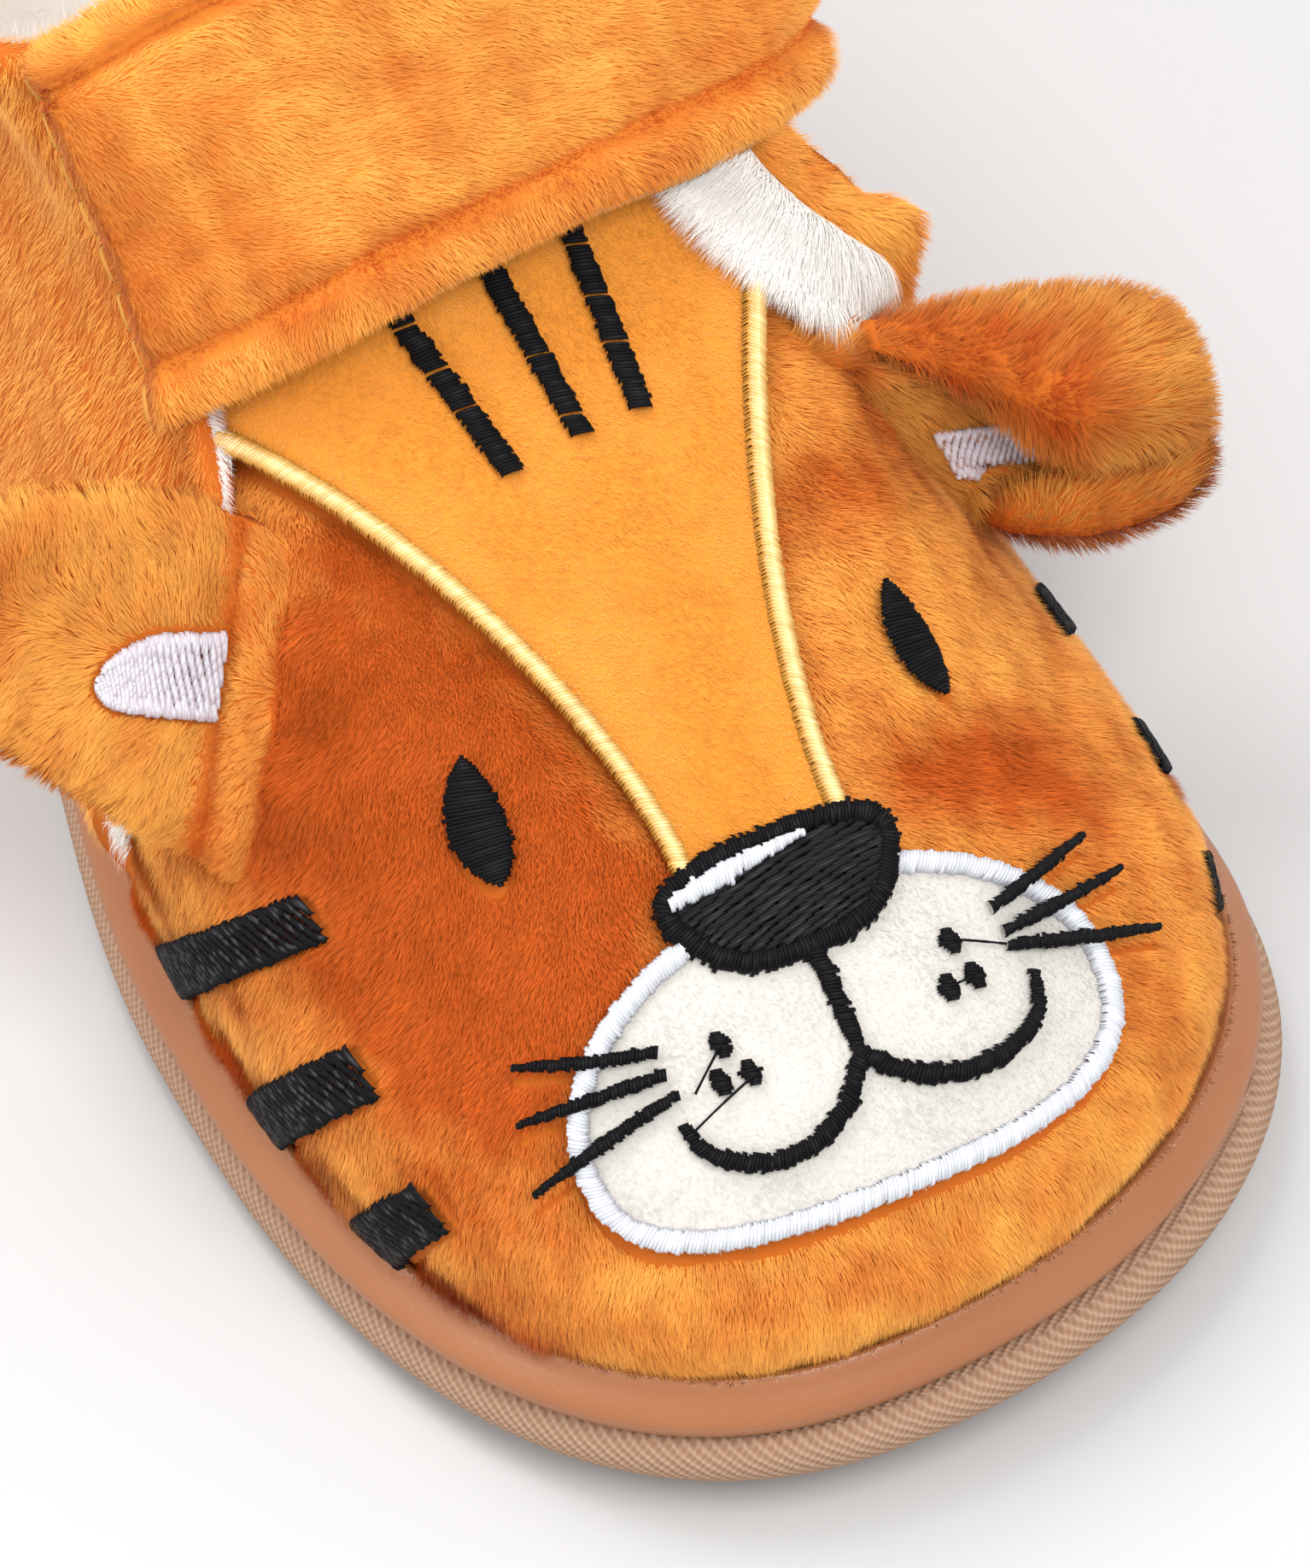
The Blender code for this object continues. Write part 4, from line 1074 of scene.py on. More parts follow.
def fill(at, rows, per_row, skew, jitter=0.012):
    """Rows of short stitches over a patch: at(u, v) gives points and normals, and the threads run along u."""
    u_start = []
    u_end = []
    for row in range(rows):
        breaks = (np.arange(1, per_row) + (row * ROW_SHIFT) % 1.0 - 0.5) / per_row
        marks = np.concatenate([[0.0], breaks, [1.0]])
        u_start.extend(marks[:-1])
        u_end.extend(marks[1:])
    v_place = np.repeat((np.arange(rows) + 0.5) / rows, per_row)
    u_start = np.array(u_start) + TRIM.normal(0.0, jitter, len(u_start))
    u_end = np.array(u_end) + TRIM.normal(0.0, jitter, len(u_end))
    starts, normals = at(u_start, np.clip(v_place - skew, 0.0, 1.0))
    ends, _ = at(u_end, np.clip(v_place + skew, 0.0, 1.0))
    return starts, ends, normals


# The face, drawn in plan
EYES = {
    MEDIAL: ((-19.0, -42.2), (-20.2, -47.2), (-20.4, -52.2)),
    LATERAL: ((20.0, -41.6), (20.0, -46.6), (20.8, -51.2)),
}
EYE_HALF = 2.6
EYE_LOW = 1.12
EYE_BLUNT = 0.66
EYE_SHARES = np.linspace(0.001, 0.999, 21)
EYE_HALVES = EYE_HALF * np.sin(math.pi * EYE_SHARES**EYE_LOW) ** EYE_BLUNT
EYE_WIDE = {MEDIAL: 1.0, LATERAL: 0.87}
EYE_LIFT = 0.0
EYE_CLEAR = 0.82
BROW_STRIPES = (
    ((-8.7, -7.6), (-6.6, -16.4), (-5.3, -24.3)),
    ((0.1, -7.8), (1.1, -16.2), (1.3, -23.6)),
    ((7.9, -7.1), (7.6, -15.2), (6.9, -23.3)),
)
BROW_HALVES = (1.0, 1.05, 1.05, 1.05, 1.0)
BROW_LIFT = 1.0
BROW_KEPT = 0.95
MOUTH = (
    ((0.0, -66.5), (0.2, -71.0), (0.0, -75.5)),
    ((0.3, -75.0), (-2.9, -78.3), (-7.1, -79.6), (-11.9, -78.5), (-14.6, -76.1), (-15.2, -74.2)),
    ((-0.3, -75.0), (3.2, -77.7), (7.3, -78.8), (12.4, -78.1), (15.8, -75.9), (16.5, -73.4)),
)
MOUTH_HALVES = (0.8, 0.86, 0.82, 0.76, 0.5)
MOUTH_LIFT = 1.2
DOTS = ((-10.0, -70.5), (-11.2, -72.9), (-8.7, -73.3), (10.9, -69.9), (9.1, -73.1), (11.6, -72.8))
DOT_HALVES = (0.35, 0.75, 0.9, 0.75, 0.35)
DOT_REACH = 0.95
DOT_LIFT = 1.15
WHISKERS = (
    ((-14.7, -68.8), (-20.0, -66.6), (-24.9, -63.7)),
    ((-14.8, -70.5), (-20.5, -69.2), (-26.2, -67.3)),
    ((-14.5, -72.2), (-21.0, -72.2), (-27.0, -71.9)),
    ((15.2, -68.3), (20.6, -66.2), (26.1, -63.6)),
    ((15.4, -70.2), (21.8, -68.6), (28.2, -66.5)),
    ((15.2, -71.3), (22.2, -71.6), (29.3, -71.3)),
)
WHISKER_HALVES = (0.45, 0.6, 0.58, 0.5, 0.3)
WHISKER_LIFT = 1.35
WHISKER_CLEAR = 0.4
JUMPS = (
    ((-10.0, -70.5), (-13.4, -72.8)),
    ((-8.7, -73.6), (-14.6, -75.0)),
    ((10.9, -69.9), (15.0, -71.2)),
    ((9.1, -73.1), (11.6, -72.8)),
)
JUMP_POINTS = 7
JUMP_LIFT = 1.75
OVAL_ENDS = (-0.98, 0.98)
DOME_POWER = 4
NOSE_GRID = (15, 27)
NOSE_CLOTH_IN = 0.3
NOSE_CLOTH_LIFT = 0.5
NOSE_CLOTH_DOME = 0.6
NOSE_ROWS = 40
NOSE_PER_ROW = 7
NOSE_FILLED = 0.93
NOSE_FILL_LIFT = 0.9
NOSE_FILL_DOME = 0.8
NOSE_CLEAR = 0.2
NOSE_BORDER_IN = 0.5
NOSE_BORDER_LIFT = 1.0
NOSE_BORDER_POINTS = 150
SHINE = ((-9.3, -60.0), (-5.0, -59.6), (0.5, -59.2), (3.0, -59.0))
SHINE_HALVES = (0.5, 0.95, 0.8, 0.6, 0.3)
SHINE_LIFT = 1.75
MUZZLE_GRID = (33, 65)
MUZZLE_CLOTH_IN = 0.5
MUZZLE_LIFT = 0.25
MUZZLE_DOME = 0.5
MUZZLE_HAIRS = 20000
MUZZLE_SEED = 5
MUZZLE_NAP = np.array((0.2, -1.0, -0.4))
MUZZLE_TONE = Tone(0.4, 0.4, 9.0, 6)
MUZZLE_BORDER_IN = 1.0
MUZZLE_BORDER_LIFT = 0.55
MUZZLE_BORDER_POINTS = 300
MUZZLE_UNDER_NOSE = 0.6
BORDER_HALF = 0.95
PATCH_SUNK = 0.6
PANEL_GRID = (46, 33)
PANEL_TOP_Y = -4.0
PANEL_UNDER_NOSE = 2.2
PANEL_INSET = 0.5
PANEL_LIFT = 0.25
PANEL_HAIRS = 50000
PANEL_SEED = 7
PANEL_NAP = np.array((0.25, -1.0, -0.4))
PANEL_TONE = Tone(0.7, 0.3, 14.0, 8, 0.15, 4.0, 9)
PANEL_CORD_SHEEN = 0.8
PANEL_CORD_SHEEN_REACH = 3.5
CORD_ENDS = {LATERAL: (-59.0, -15.0), MEDIAL: (-59.0, -9.0)}
CORD_LOW = 34.0
CORD_POINTS = 120
CORD_HALVES = (0.85, 1.0)
CORD_LIFT = 0.5
# Cheek stripes in side view: inner edge front and rear, then outer edge front and rear, as length and height
CHEEK_STRIPES = (
    ((-45.6, 36.3), (-41.0, 37.4), (-30.3, 12.0), (-24.6, 12.0)),
    ((-57.7, 30.2), (-52.7, 31.8), (-47.7, 12.0), (-42.2, 12.0)),
    ((-68.6, 24.5), (-64.2, 26.4), (-63.3, 13.0), (-57.3, 12.6)),
)
STRIPE_LIFT = {MEDIAL: -0.45, LATERAL: -0.95}
STRIPE_START = {MEDIAL: 0.0, LATERAL: 0.27}
STRIPE_PITCH = 0.29
STRIPE_PER_ROW = 3


def oval_line(oval, out, count):
    """Plan places once round an oval that is larger by out."""
    angle = np.linspace(0.0, 2.0 * math.pi, count)
    cos, sin = np.cos(angle), np.sin(angle)
    x = np.sign(cos) * np.abs(cos) ** (2.0 / oval.power)
    y = np.sign(sin) * np.abs(sin) ** (2.0 / oval.power)
    return (oval.half_width + out) * x * (1.0 + oval.taper * y), oval.y + (oval.half_height + out) * y


def in_oval(x, y, oval, out):
    v = (y - oval.y) / (oval.half_height + out)
    u = x / ((oval.half_width + out) * (1.0 + oval.taper * np.clip(v, -1.0, 1.0)))
    return np.abs(u) ** oval.power + np.abs(v) ** oval.power < 1.0


def oval_half(oval, rise, out=0.0):
    """Half width of an oval at a share of its half height."""
    half = (oval.half_width + out) * (1.0 - np.abs(rise) ** oval.power) ** (1.0 / oval.power)
    return half * (1.0 + oval.taper * rise)


def oval_grid(oval, out, rows, columns):
    """Plan places over an oval, row by row from its lower to its upper edge, and how far it domes there."""
    v = np.sin(np.linspace(*OVAL_ENDS, rows) * math.pi / 2.0)[:, None]
    u = np.linspace(-1.0, 1.0, columns)[None, :]
    y = oval.y + (oval.half_height + out) * np.repeat(v, columns, axis=1)
    return oval_half(oval, v, out) * u, y, (1.0 - u**DOME_POWER) * (1.0 - v**DOME_POWER)


def off_nose(spots):
    return ~in_oval(spots.points[:, 0], spots.points[:, 1], NOSE, NOSE_CLEAR)


def stripe_shape(stripe, side):
    """A cheek stripe's corners in side view; the lateral ones start further out."""
    inner_front, inner_rear, outer_front, outer_rear = (np.array(p) for p in stripe)
    start = STRIPE_START[side]
    return mix(inner_front, outer_front, start), mix(inner_rear, outer_rear, start), outer_front, outer_rear


def stripe_corner(shape, u, v):
    """Side-view place on a cheek stripe: u across from front to rear, v from its inner to its outer edge."""
    inner_front, inner_rear, outer_front, outer_rear = shape
    u = u[:, None]
    v = v[:, None]
    return mix(mix(inner_front, inner_rear, u), mix(outer_front, outer_rear, u), v)


def black_embroidery():
    parts = []
    for side in (MEDIAL, LATERAL):
        halves = EYE_HALVES * EYE_WIDE[side]
        parts.append(plan_satin(EYES[side], halves, EYE_LIFT, slant=0.1, ragged=0.05))
    for stripe in BROW_STRIPES:
        threads = plan_satin(stripe, BROW_HALVES, BROW_LIFT, ragged=0.1)
        kept = TRIM.random(len(threads[0])) < BROW_KEPT
        parts.append([values[kept] for values in threads])
    for line in MOUTH:
        parts.append(plan_satin(line, MOUTH_HALVES, MOUTH_LIFT))
    for whisker in WHISKERS:
        parts.append(plan_satin(whisker, WHISKER_HALVES, WHISKER_LIFT))
    for x, y in DOTS:
        line = ((x, y + DOT_REACH), (x, y), (x, y - DOT_REACH))
        parts.append(plan_satin(line, DOT_HALVES, DOT_LIFT, pitch=0.26))
    stitches("black_satin", joined(parts), BLACK_LINE)


def thin_lines():
    """Jump threads between the dots."""
    parts = []
    for jump in JUMPS:
        path = smooth_path(jump, JUMP_POINTS)
        points, normals = drape(path[:, 0], path[:, 1])
        points = points + normals * JUMP_LIFT
        parts.append((points[:-1], points[1:], normals[:-1]))
    stitches("jump_threads", joined(parts), BLACK_JUMP)


def cheek_stripes():
    parts = []
    for side in (MEDIAL, LATERAL):
        for stripe in CHEEK_STRIPES:
            shape = stripe_shape(stripe, side)

            def at(u, v, shape=shape, side=side):
                corner = stripe_corner(shape, u, v)
                points, normals = side_drape(side, corner[:, 0], corner[:, 1])
                return points + normals * STRIPE_LIFT[side], normals

            rows = int(np.linalg.norm(shape[2] - shape[0]) / STRIPE_PITCH)
            parts.append(fill(at, rows, STRIPE_PER_ROW, skew=0.008, jitter=0.02))
    stitches("cheek_stripes", joined(parts), BLACK_STRIPE)


def plan_patch(name, x, y, lift, material, replaced):
    """A thin cushion draped on the vamp: x and y are grids of plan places."""
    shape = x.shape
    points, normals = drape(x.ravel(), y.ravel())
    outer = (points + normals * np.broadcast_to(lift, shape).reshape(-1, 1)).reshape(*shape, 3)
    inner = (points - normals * PATCH_SUNK).reshape(*shape, 3)
    place(two_faced(name, outer, inner), material, replaced)
    return Skin(outer, normals_of(outer), np.zeros(shape), np.zeros(shape))


def make_panel():
    rows, columns = PANEL_GRID
    lengths = np.linspace(PANEL_LOW_Y - PANEL_UNDER_NOSE, PANEL_TOP_Y, rows)
    sides = np.linspace(-1.0, 1.0, columns)
    x = np.outer(panel_half(lengths) - PANEL_INSET, sides)
    y = np.repeat(lengths[:, None], columns, axis=1)
    skin = plan_patch("forehead_cloth", x, y, PANEL_LIFT, VELOUR_BASE, ["forehead_panel"])
    rng = dice(PANEL_SEED)
    spots = scatter(skin, PANEL_HAIRS, rng, off_nose)
    # Painted sheen: the velour is lighter in a band along the cords, where its pile is brushed.
    from_cord = panel_half(spots.points[:, 1]) - np.abs(spots.points[:, 0])
    painted_sheen = PANEL_CORD_SHEEN * bell(from_cord / PANEL_CORD_SHEEN_REACH)
    tone = smooth_step(patchy(spots.points, PANEL_TONE) - painted_sheen)
    add_pile("forehead_pile", spots, PANEL_NAP, tone, VELOUR, rng)


def make_muzzle():
    x, y, dome = oval_grid(MUZZLE, -MUZZLE_CLOTH_IN, *MUZZLE_GRID)
    lift = MUZZLE_LIFT + MUZZLE_DOME * dome
    skin = plan_patch("muzzle_cloth", x, y, lift, MUZZLE_BASE, ["muzzle_patch"])
    rng = dice(MUZZLE_SEED)
    spots = scatter(skin, MUZZLE_HAIRS, rng, off_nose)
    tone = smooth_step(patchy(spots.points, MUZZLE_TONE))
    add_pile("muzzle_pile", spots, MUZZLE_NAP, tone, MUZZLE_PILE, rng)
    x, y = oval_line(MUZZLE, -MUZZLE_BORDER_IN, MUZZLE_BORDER_POINTS)
    points, normals = drape(x, y)
    outside = ~in_oval(x, y, NOSE, -MUZZLE_UNDER_NOSE)
    order = np.roll(np.arange(MUZZLE_BORDER_POINTS), -int(np.argmax(~outside)))
    order = order[outside[order]]
    points, normals = points[order], normals[order]
    border = satin(points + normals * MUZZLE_BORDER_LIFT, normals, BORDER_HALF, slant=0.3, ragged=0.09)
    stitches("muzzle_border", border, MUZZLE_BORDER)


def nose_at(u, v):
    """Across the nose by u, from its lower to its upper edge by v."""
    y = NOSE.y + NOSE.half_height * (2.0 * v - 1.0) * NOSE_FILLED
    x = oval_half(NOSE, (y - NOSE.y) / NOSE.half_height) * (2.0 * u - 1.0)
    points, normals = drape(x, y)
    dome = (1.0 - np.abs(2.0 * u - 1.0) ** 2) * (1.0 - (2.0 * v - 1.0) ** 2)
    return points + normals * (NOSE_FILL_LIFT + NOSE_FILL_DOME * dome)[:, None], normals


def make_nose():
    x, y, dome = oval_grid(NOSE, -NOSE_CLOTH_IN, *NOSE_GRID)
    lift = NOSE_CLOTH_LIFT + NOSE_CLOTH_DOME * dome
    plan_patch("nose_cloth", x, y, lift, DARK_CLOTH, ["nose_patch"])
    stitches("nose_fill", fill(nose_at, NOSE_ROWS, NOSE_PER_ROW, skew=0.01), NOSE_FILL)
    points, normals = drape(*oval_line(NOSE, -NOSE_BORDER_IN, NOSE_BORDER_POINTS))
    border = satin(points + normals * NOSE_BORDER_LIFT, normals, BORDER_HALF, slant=0.15)
    stitches("nose_border", border, NOSE_BORDER)
    stitches("nose_shine", plan_satin(SHINE, SHINE_HALVES, SHINE_LIFT), NOSE_SHINE)


def make_cords():
    for side in (LATERAL, MEDIAL):
        y = np.linspace(*CORD_ENDS[side], CORD_POINTS)
        points, normals = drape(side * panel_half(y), y)
        on_top = points[:, 2] > CORD_LOW
        points, normals = points[on_top], normals[on_top]
        halves = np.linspace(*CORD_HALVES, len(points))
        threads = satin(points + normals * CORD_LIFT, normals, halves, slant=0.45, ragged=0.05)
        name = "cord_" + SIDE_NAMES[side]
        stitches(name + "_satin", threads, GOLD_CORD, [name])


make_panel()
make_muzzle()
make_nose()
make_cords()
black_embroidery()
thin_lines()
cheek_stripes()

# Plush of the vamp and the quarter
Patch = namedtuple("Patch", "x y half_x half_y dark")
# Dark patches where the vamp's pile stands up; their darker colour is partly painted shade, of the upright
# pile and low on the cheek near the rand.
VAMP_PATCHES = (
    Patch(-20.0, -38.0, 13.0, 24.0, 1.1),
    Patch(-31.0, -38.0, 6.0, 12.0, 0.6),
    Patch(-25.0, -58.0, 7.0, 12.0, 0.8),
    Patch(-12.0, -57.0, 7.0, 8.0, 0.5),
    Patch(26.0, -58.0, 8.0, 6.0, 0.9),
    Patch(17.0, -57.0, 6.0, 5.0, 0.6),
    Patch(20.0, -33.0, 8.0, 5.0, 0.45),
    Patch(27.0, -24.0, 5.0, 5.0, 0.6),
    Patch(-4.0, -86.5, 14.0, 3.0, 0.3),
    Patch(24.0, -76.0, 6.0, 5.0, 0.5),
    Patch(-33.0, -62.0, 5.0, 16.0, 0.35),
    Patch(-30.0, -76.0, 6.0, 4.0, 0.4),
)
VAMP_TONE = Tone(0.11, 0.15, 11.0, 10, 0.11, 4.5, 11)
VAMP_DARKEST = 0.92
VAMP_NAP = np.array((0.75, -1.0, -0.45))
VAMP_NAP_HALF = 36.0
VAMP_HAIRS = 105000
VampPart = namedtuple("VampPart", "name columns seed")
VAMP_PARTS = (
    VampPart("plush_vamp_medial", slice(0, 33), 12),
    VampPart("plush_vamp_toe", slice(32, 65), 33),
    VampPart("plush_vamp_lateral", slice(64, 97), 13),
)
PANEL_CLEAR = 0.5
MUZZLE_CLEAR = -0.3
FOOT_LONGER = 0.6
FOOT_LEVEL = 1.5
QUARTER_HAIRS = 118000
QUARTER_SEED = 14
QUARTER_NAP = np.array((0.0, -0.4, -1.0))
QUARTER_TONE = Tone(0.05, 0.15, 14.0, 15, 0.08, 5.0, 16)


def vamp_tone(points):
    x, y = points[:, 0], points[:, 1]
    tone = patchy(points, VAMP_TONE)
    for patch in VAMP_PATCHES:
        away = ((x - patch.x) / patch.half_x) ** 2 + ((y - patch.y) / patch.half_y) ** 2
        tone += patch.dark * np.exp(-away)
    return np.clip(tone, 0.0, VAMP_DARKEST)


def in_stripe(flat, shape):
    """True for side-view places inside a stripe's four corners."""
    inner_front, inner_rear, outer_front, outer_rear = shape
    corners = (inner_front, inner_rear, outer_rear, outer_front)
    turns = []
    for a, b in zip(corners, corners[1:] + corners[:1]):
        edge = b - a
        turns.append(edge[0] * (flat[:, 1] - a[1]) - edge[1] * (flat[:, 0] - a[0]))
    turns = np.array(turns)
    return (turns > 0.0).all(axis=0) | (turns < 0.0).all(axis=0)


def in_eye(x, y, side):
    start, middle, end = EYES[side]
    reach = np.clip((start[1] - y) / (start[1] - end[1]), 0.0, 1.0)
    half = np.interp(reach, np.linspace(0.0, 1.0, len(EYE_HALVES)), EYE_HALVES) * EYE_WIDE[side] * EYE_CLEAR
    centre = np.interp(reach, (0.0, 0.5, 1.0), (start[0], middle[0], end[0]))
    return (y < start[1]) & (y > end[1]) & (np.abs(x - centre) < half)


def clear_of_face(spots):
    """False where embroidery covers the vamp."""
    x, y, _ = spots.points.T
    covered = (np.abs(x) < panel_half(y) + PANEL_CLEAR) & (y > PANEL_LOW_Y - PANEL_UNDER_NOSE)
    covered |= in_oval(x, y, MUZZLE, MUZZLE_CLEAR) | in_oval(x, y, NOSE, NOSE_CLEAR)
    for whisker in WHISKERS:
        covered |= path_distance(spots.points[:, :2], np.array(whisker)) < WHISKER_CLEAR
    for side in (MEDIAL, LATERAL):
        covered |= in_eye(x, y, side)
        for stripe in CHEEK_STRIPES:
            covered |= (side * x > 0.0) & in_stripe(spots.points[:, 1:], stripe_shape(stripe, side))
    return ~covered


def vamp_nap(points):
    """The nap runs to the toe and away from the middle."""
    nap = np.tile(VAMP_NAP, (len(points), 1))
    nap[:, 0] *= points[:, 0] / VAMP_NAP_HALF
    return nap


def vamp_pile(part):
    rng = dice(part.seed)
    spots = scatter(part_of(VAMP_BACKING, columns=part.columns), VAMP_HAIRS, rng, clear_of_face)
    longer = 1.0 + FOOT_LONGER * (1.0 - smooth_step(spots.level / FOOT_LEVEL))
    add_pile(part.name, spots, vamp_nap(spots.points), vamp_tone(spots.points), PLUSH, rng, longer)


def quarter_pile():
    rng = dice(QUARTER_SEED)
    spots = scatter(QUARTER_BACKING, QUARTER_HAIRS, rng)
    tone = np.clip(patchy(spots.points, QUARTER_TONE), 0.0, 1.0)
    add_pile("plush_quarter", spots, QUARTER_NAP, tone, STRAP_PLUSH, rng)


for part in VAMP_PARTS:
    vamp_pile(part)
quarter_pile()

# Turned plush edges of the quarter
Hem = namedtuple("Hem", "name hairs nap pile seed")
FLAP_HEM = Hem("flap_hem", 22000, np.array((0.55, -0.5, -0.65)), EAR_PLUSH, 36)
SLIT_HEM = Hem("slit_hem", 6000, np.array((-0.2, -0.7, -0.6)), STRAP_PLUSH, 34)
COLLAR_HEM = Hem("collar_hem", 19000, np.array((0.0, -0.3, -1.0)), STRAP_PLUSH, 34)
HEM_TONE = Tone(0.2, 0.25, 6.0, 35)
ROLL_TURNS = np.linspace(0.0, 2.0 * math.pi, 25)
ROLL_RADIUS = 1.9
ROLL_FADE = 5.0
ROLL_END = 0.35
ROLL_NUDGE = np.array((-0.5, 0.0, 0.5))
FLAP_ROWS = slice(46, 82)
FLAP_BACK = 0.12
FLAP_SHARES = np.linspace(-FLAP_BACK, 1.0, 19)
FLAP_BULGE = 3.0
SLIT_LEVELS = np.linspace(4.8, 7.4, 30)
SLIT_FORWARD = 2.2
SLIT_SUNK = 1.7
COLLAR_HEM_SUNK = 0.6


def make_hem(hem, grid, out):
    """A sheet of backing with pile on it; out points away from the cloth."""
    quads = grid_loops(*grid.shape[:2], flip=np.sum(normals_of(grid) * out) < 0.0)
    place(add_quads(hem.name, grid, quads), BACKING)
    rng = dice(hem.seed)
    flat = np.zeros(grid.shape[:2])
    spots = scatter(Skin(grid, out, flat, flat), hem.hairs, rng)
    tone = np.clip(patchy(spots.points, HEM_TONE), 0.0, 1.0)
    add_pile(hem.name + "_pile", spots, hem.nap, tone, hem.pile, rng)


def make_roll(hem, centre, normal, along):
    """A tapered roll: normal points out of the shoe and along lies across the roll in the surface."""
    rows = np.arange(len(centre))
    radius = ROLL_RADIUS * mix(ROLL_END, 1.0, smooth_step(np.minimum(rows, rows[::-1]) / ROLL_FADE))
    cos = np.cos(ROLL_TURNS)[None, :, None]
    sin = np.sin(ROLL_TURNS)[None, :, None]
    out = unit(normal)[:, None, :] * cos - unit(along)[:, None, :] * sin
    make_hem(hem, centre[:, None, :] + out * radius[:, None, None], out)


def make_flap():
    """The lateral front edge of the quarter is turned over, and its rim bulges forward."""
    outer = QUARTER.points[FLAP_ROWS, 0][:, None, :]
    inner = QUARTER_INNER.points[FLAP_ROWS, 0][:, None, :]
    forward = unit(outer - QUARTER.points[FLAP_ROWS, 2][:, None, :])
    t = FLAP_SHARES[None, :, None]
    middle = 2.0 * (t + FLAP_BACK) / (1.0 + FLAP_BACK) - 1.0
    grid = mix(outer, inner, t) + forward * FLAP_BULGE * np.sqrt(np.clip(1.0 - middle**2, 0.0, 1.0))
    normals = normals_of(grid)
    make_hem(FLAP_HEM, grid, normals * np.sign(np.sum(normals * forward)))


def slit_roll():
    """A roll along the quarter's medial front edge."""

    def runs_of(level, shares):
        return shares + SLIT_FORWARD - quarter_edge(level, MEDIAL)

    skin = pattern_skin(SLIT_LEVELS, ROLL_NUDGE, runs_of)
    normal = skin.normals[:, 1]
    centre = skin.points[:, 1] + normal * (QUARTER_STEP - SLIT_SUNK)
    make_roll(SLIT_HEM, centre, normal, skin.points[:, 2] - skin.points[:, 0])


def collar_roll():
    outer = QUARTER.points[-1]
    inner = QUARTER_INNER.points[-1]
    up = unit(outer - QUARTER.points[-3])
    make_roll(COLLAR_HEM, (outer + inner) / 2.0 - up * COLLAR_HEM_SUNK, outer - inner, up)


make_flap()
slit_roll()
collar_roll()

# Strap
STRAP_FRONT_LEVEL = 7.22
STRAP_REAR_LEVEL = 8.88
STRAP_SKEW = 0.14
TO_MIDDLE = (0.0, 1.0, 1.0)
STRAP_SWEEP = (-57.0, 112.0, 2.5)
STRAP_LATERAL_REACH = 57.0
STRAP_CORNER = 7.0
STRAP_CORNER_POWER = 8
STRAP_GAP = 0.8
STRAP_AXIS_DEPTH = 28.0
STRAP_THICK = 3.8
STRAP_LEAST = 0.06
STRAP_ROUND = 18
STRAP_END_ROUND = 30
STRAP_ROWS = 33
STRAP_COLUMNS = 111
STRAP_READ = np.linspace(0.0, 1.16, 45)
# How far the front edge is drawn back, as a share of the width, at shares of the length from the medial end
STRAP_DRAWN = ((0.0, 0.0), (0.15, 0.05), (0.3, 0.085), (0.45, 0.08), (0.6, 0.03), (0.75, 0.0), (1.0, 0.0))
# How far the rear edge reaches past the strap's width, in the same way
STRAP_WIDER = ((0.0, 0.05), (0.06, 0.08), (0.14, 0.12), (0.25, 0.14), (0.5, 0.05), (0.7, 0.0), (1.0, 0.0))
STRAP_CROWDED = 0.75
STRAP_SWELL = 0.35
STRAP_SWELL_WAVE = 16.0
STRAP_SWELL_SEED = 17
STRAP_HAIRS = 104000
STRAP_SEED = 21
STRAP_TONE = Tone(0.22, 0.22, 13.0, 18, 0.12, 4.0, 19)
STRAP_NAP = np.array((1.0, -0.35, -0.2))
FRONT_HEM_NAP = np.array((0.35, -1.0, -0.9))
REAR_HEM_NAP = np.array((-0.35, 0.9, 0.1))
SEWN_NAP = np.array((-0.6, -0.6, -0.8))
SEWN_REACH = 3.0
SEWN_THICK = 0.45
HEM_IN = 4.8
REAR_HEM_IN = 3.3
HEM_DEPTH = 1.5
HEM_WIDTH = 1.0
GROOVE_WIDTH = 0.9
GROOVE_PAINTED_SHADE = 0.8
GROOVE_SHORT = 0.7
SEAM_COLUMN = 5
SEAM_ROWS = slice(2, -2)
SEAM_STITCHES = 8
SEAM_STEP = 9
SEAM_OPEN = 2
SEAM_LIFT = 0.45
SEAM_HALF = 0.007
TWIST_COLUMNS = slice(36, 72)
TWIST_SHIFT = (0.0, -0.5, -0.4)
TWIST_UP = (-0.15, -0.5, 0.85)
TWIST_HALF = 0.34
HULL_LOW_LEVEL = 1.0
HULL_RISE = 14.0
HULL_TURNS = 141
HULL_LEVELS = 41


def quarter_hull():
    """A guide surface at the quarter's outer level all round, over the tongue too, and on past the collar."""
    turns = np.linspace(-1.0, 1.0, HULL_TURNS)[:-1]
    levels = np.linspace(HULL_LOW_LEVEL, TOP, HULL_LEVELS)
    skin = pattern_skin(levels, turns, whole_runs)
    lift = np.stack([QUARTER_STEP + flare(level, whole_runs(level, turns)) for level in levels])
    points = skin.points + skin.normals * lift[..., None]
    rise = points[-1] + HULL_RISE * unit(points[-1] - points[-2])
    points = np.concatenate([points, rise[None]])
    return make_guide(points, points, closed=True).tree


def crowded(count):
    """Shares from 0 to 1 that lie closer together at both ends."""
    even = np.linspace(0.0, 1.0, count)
    return mix(even, (1.0 - np.cos(math.pi * even)) / 2.0, STRAP_CROWDED)


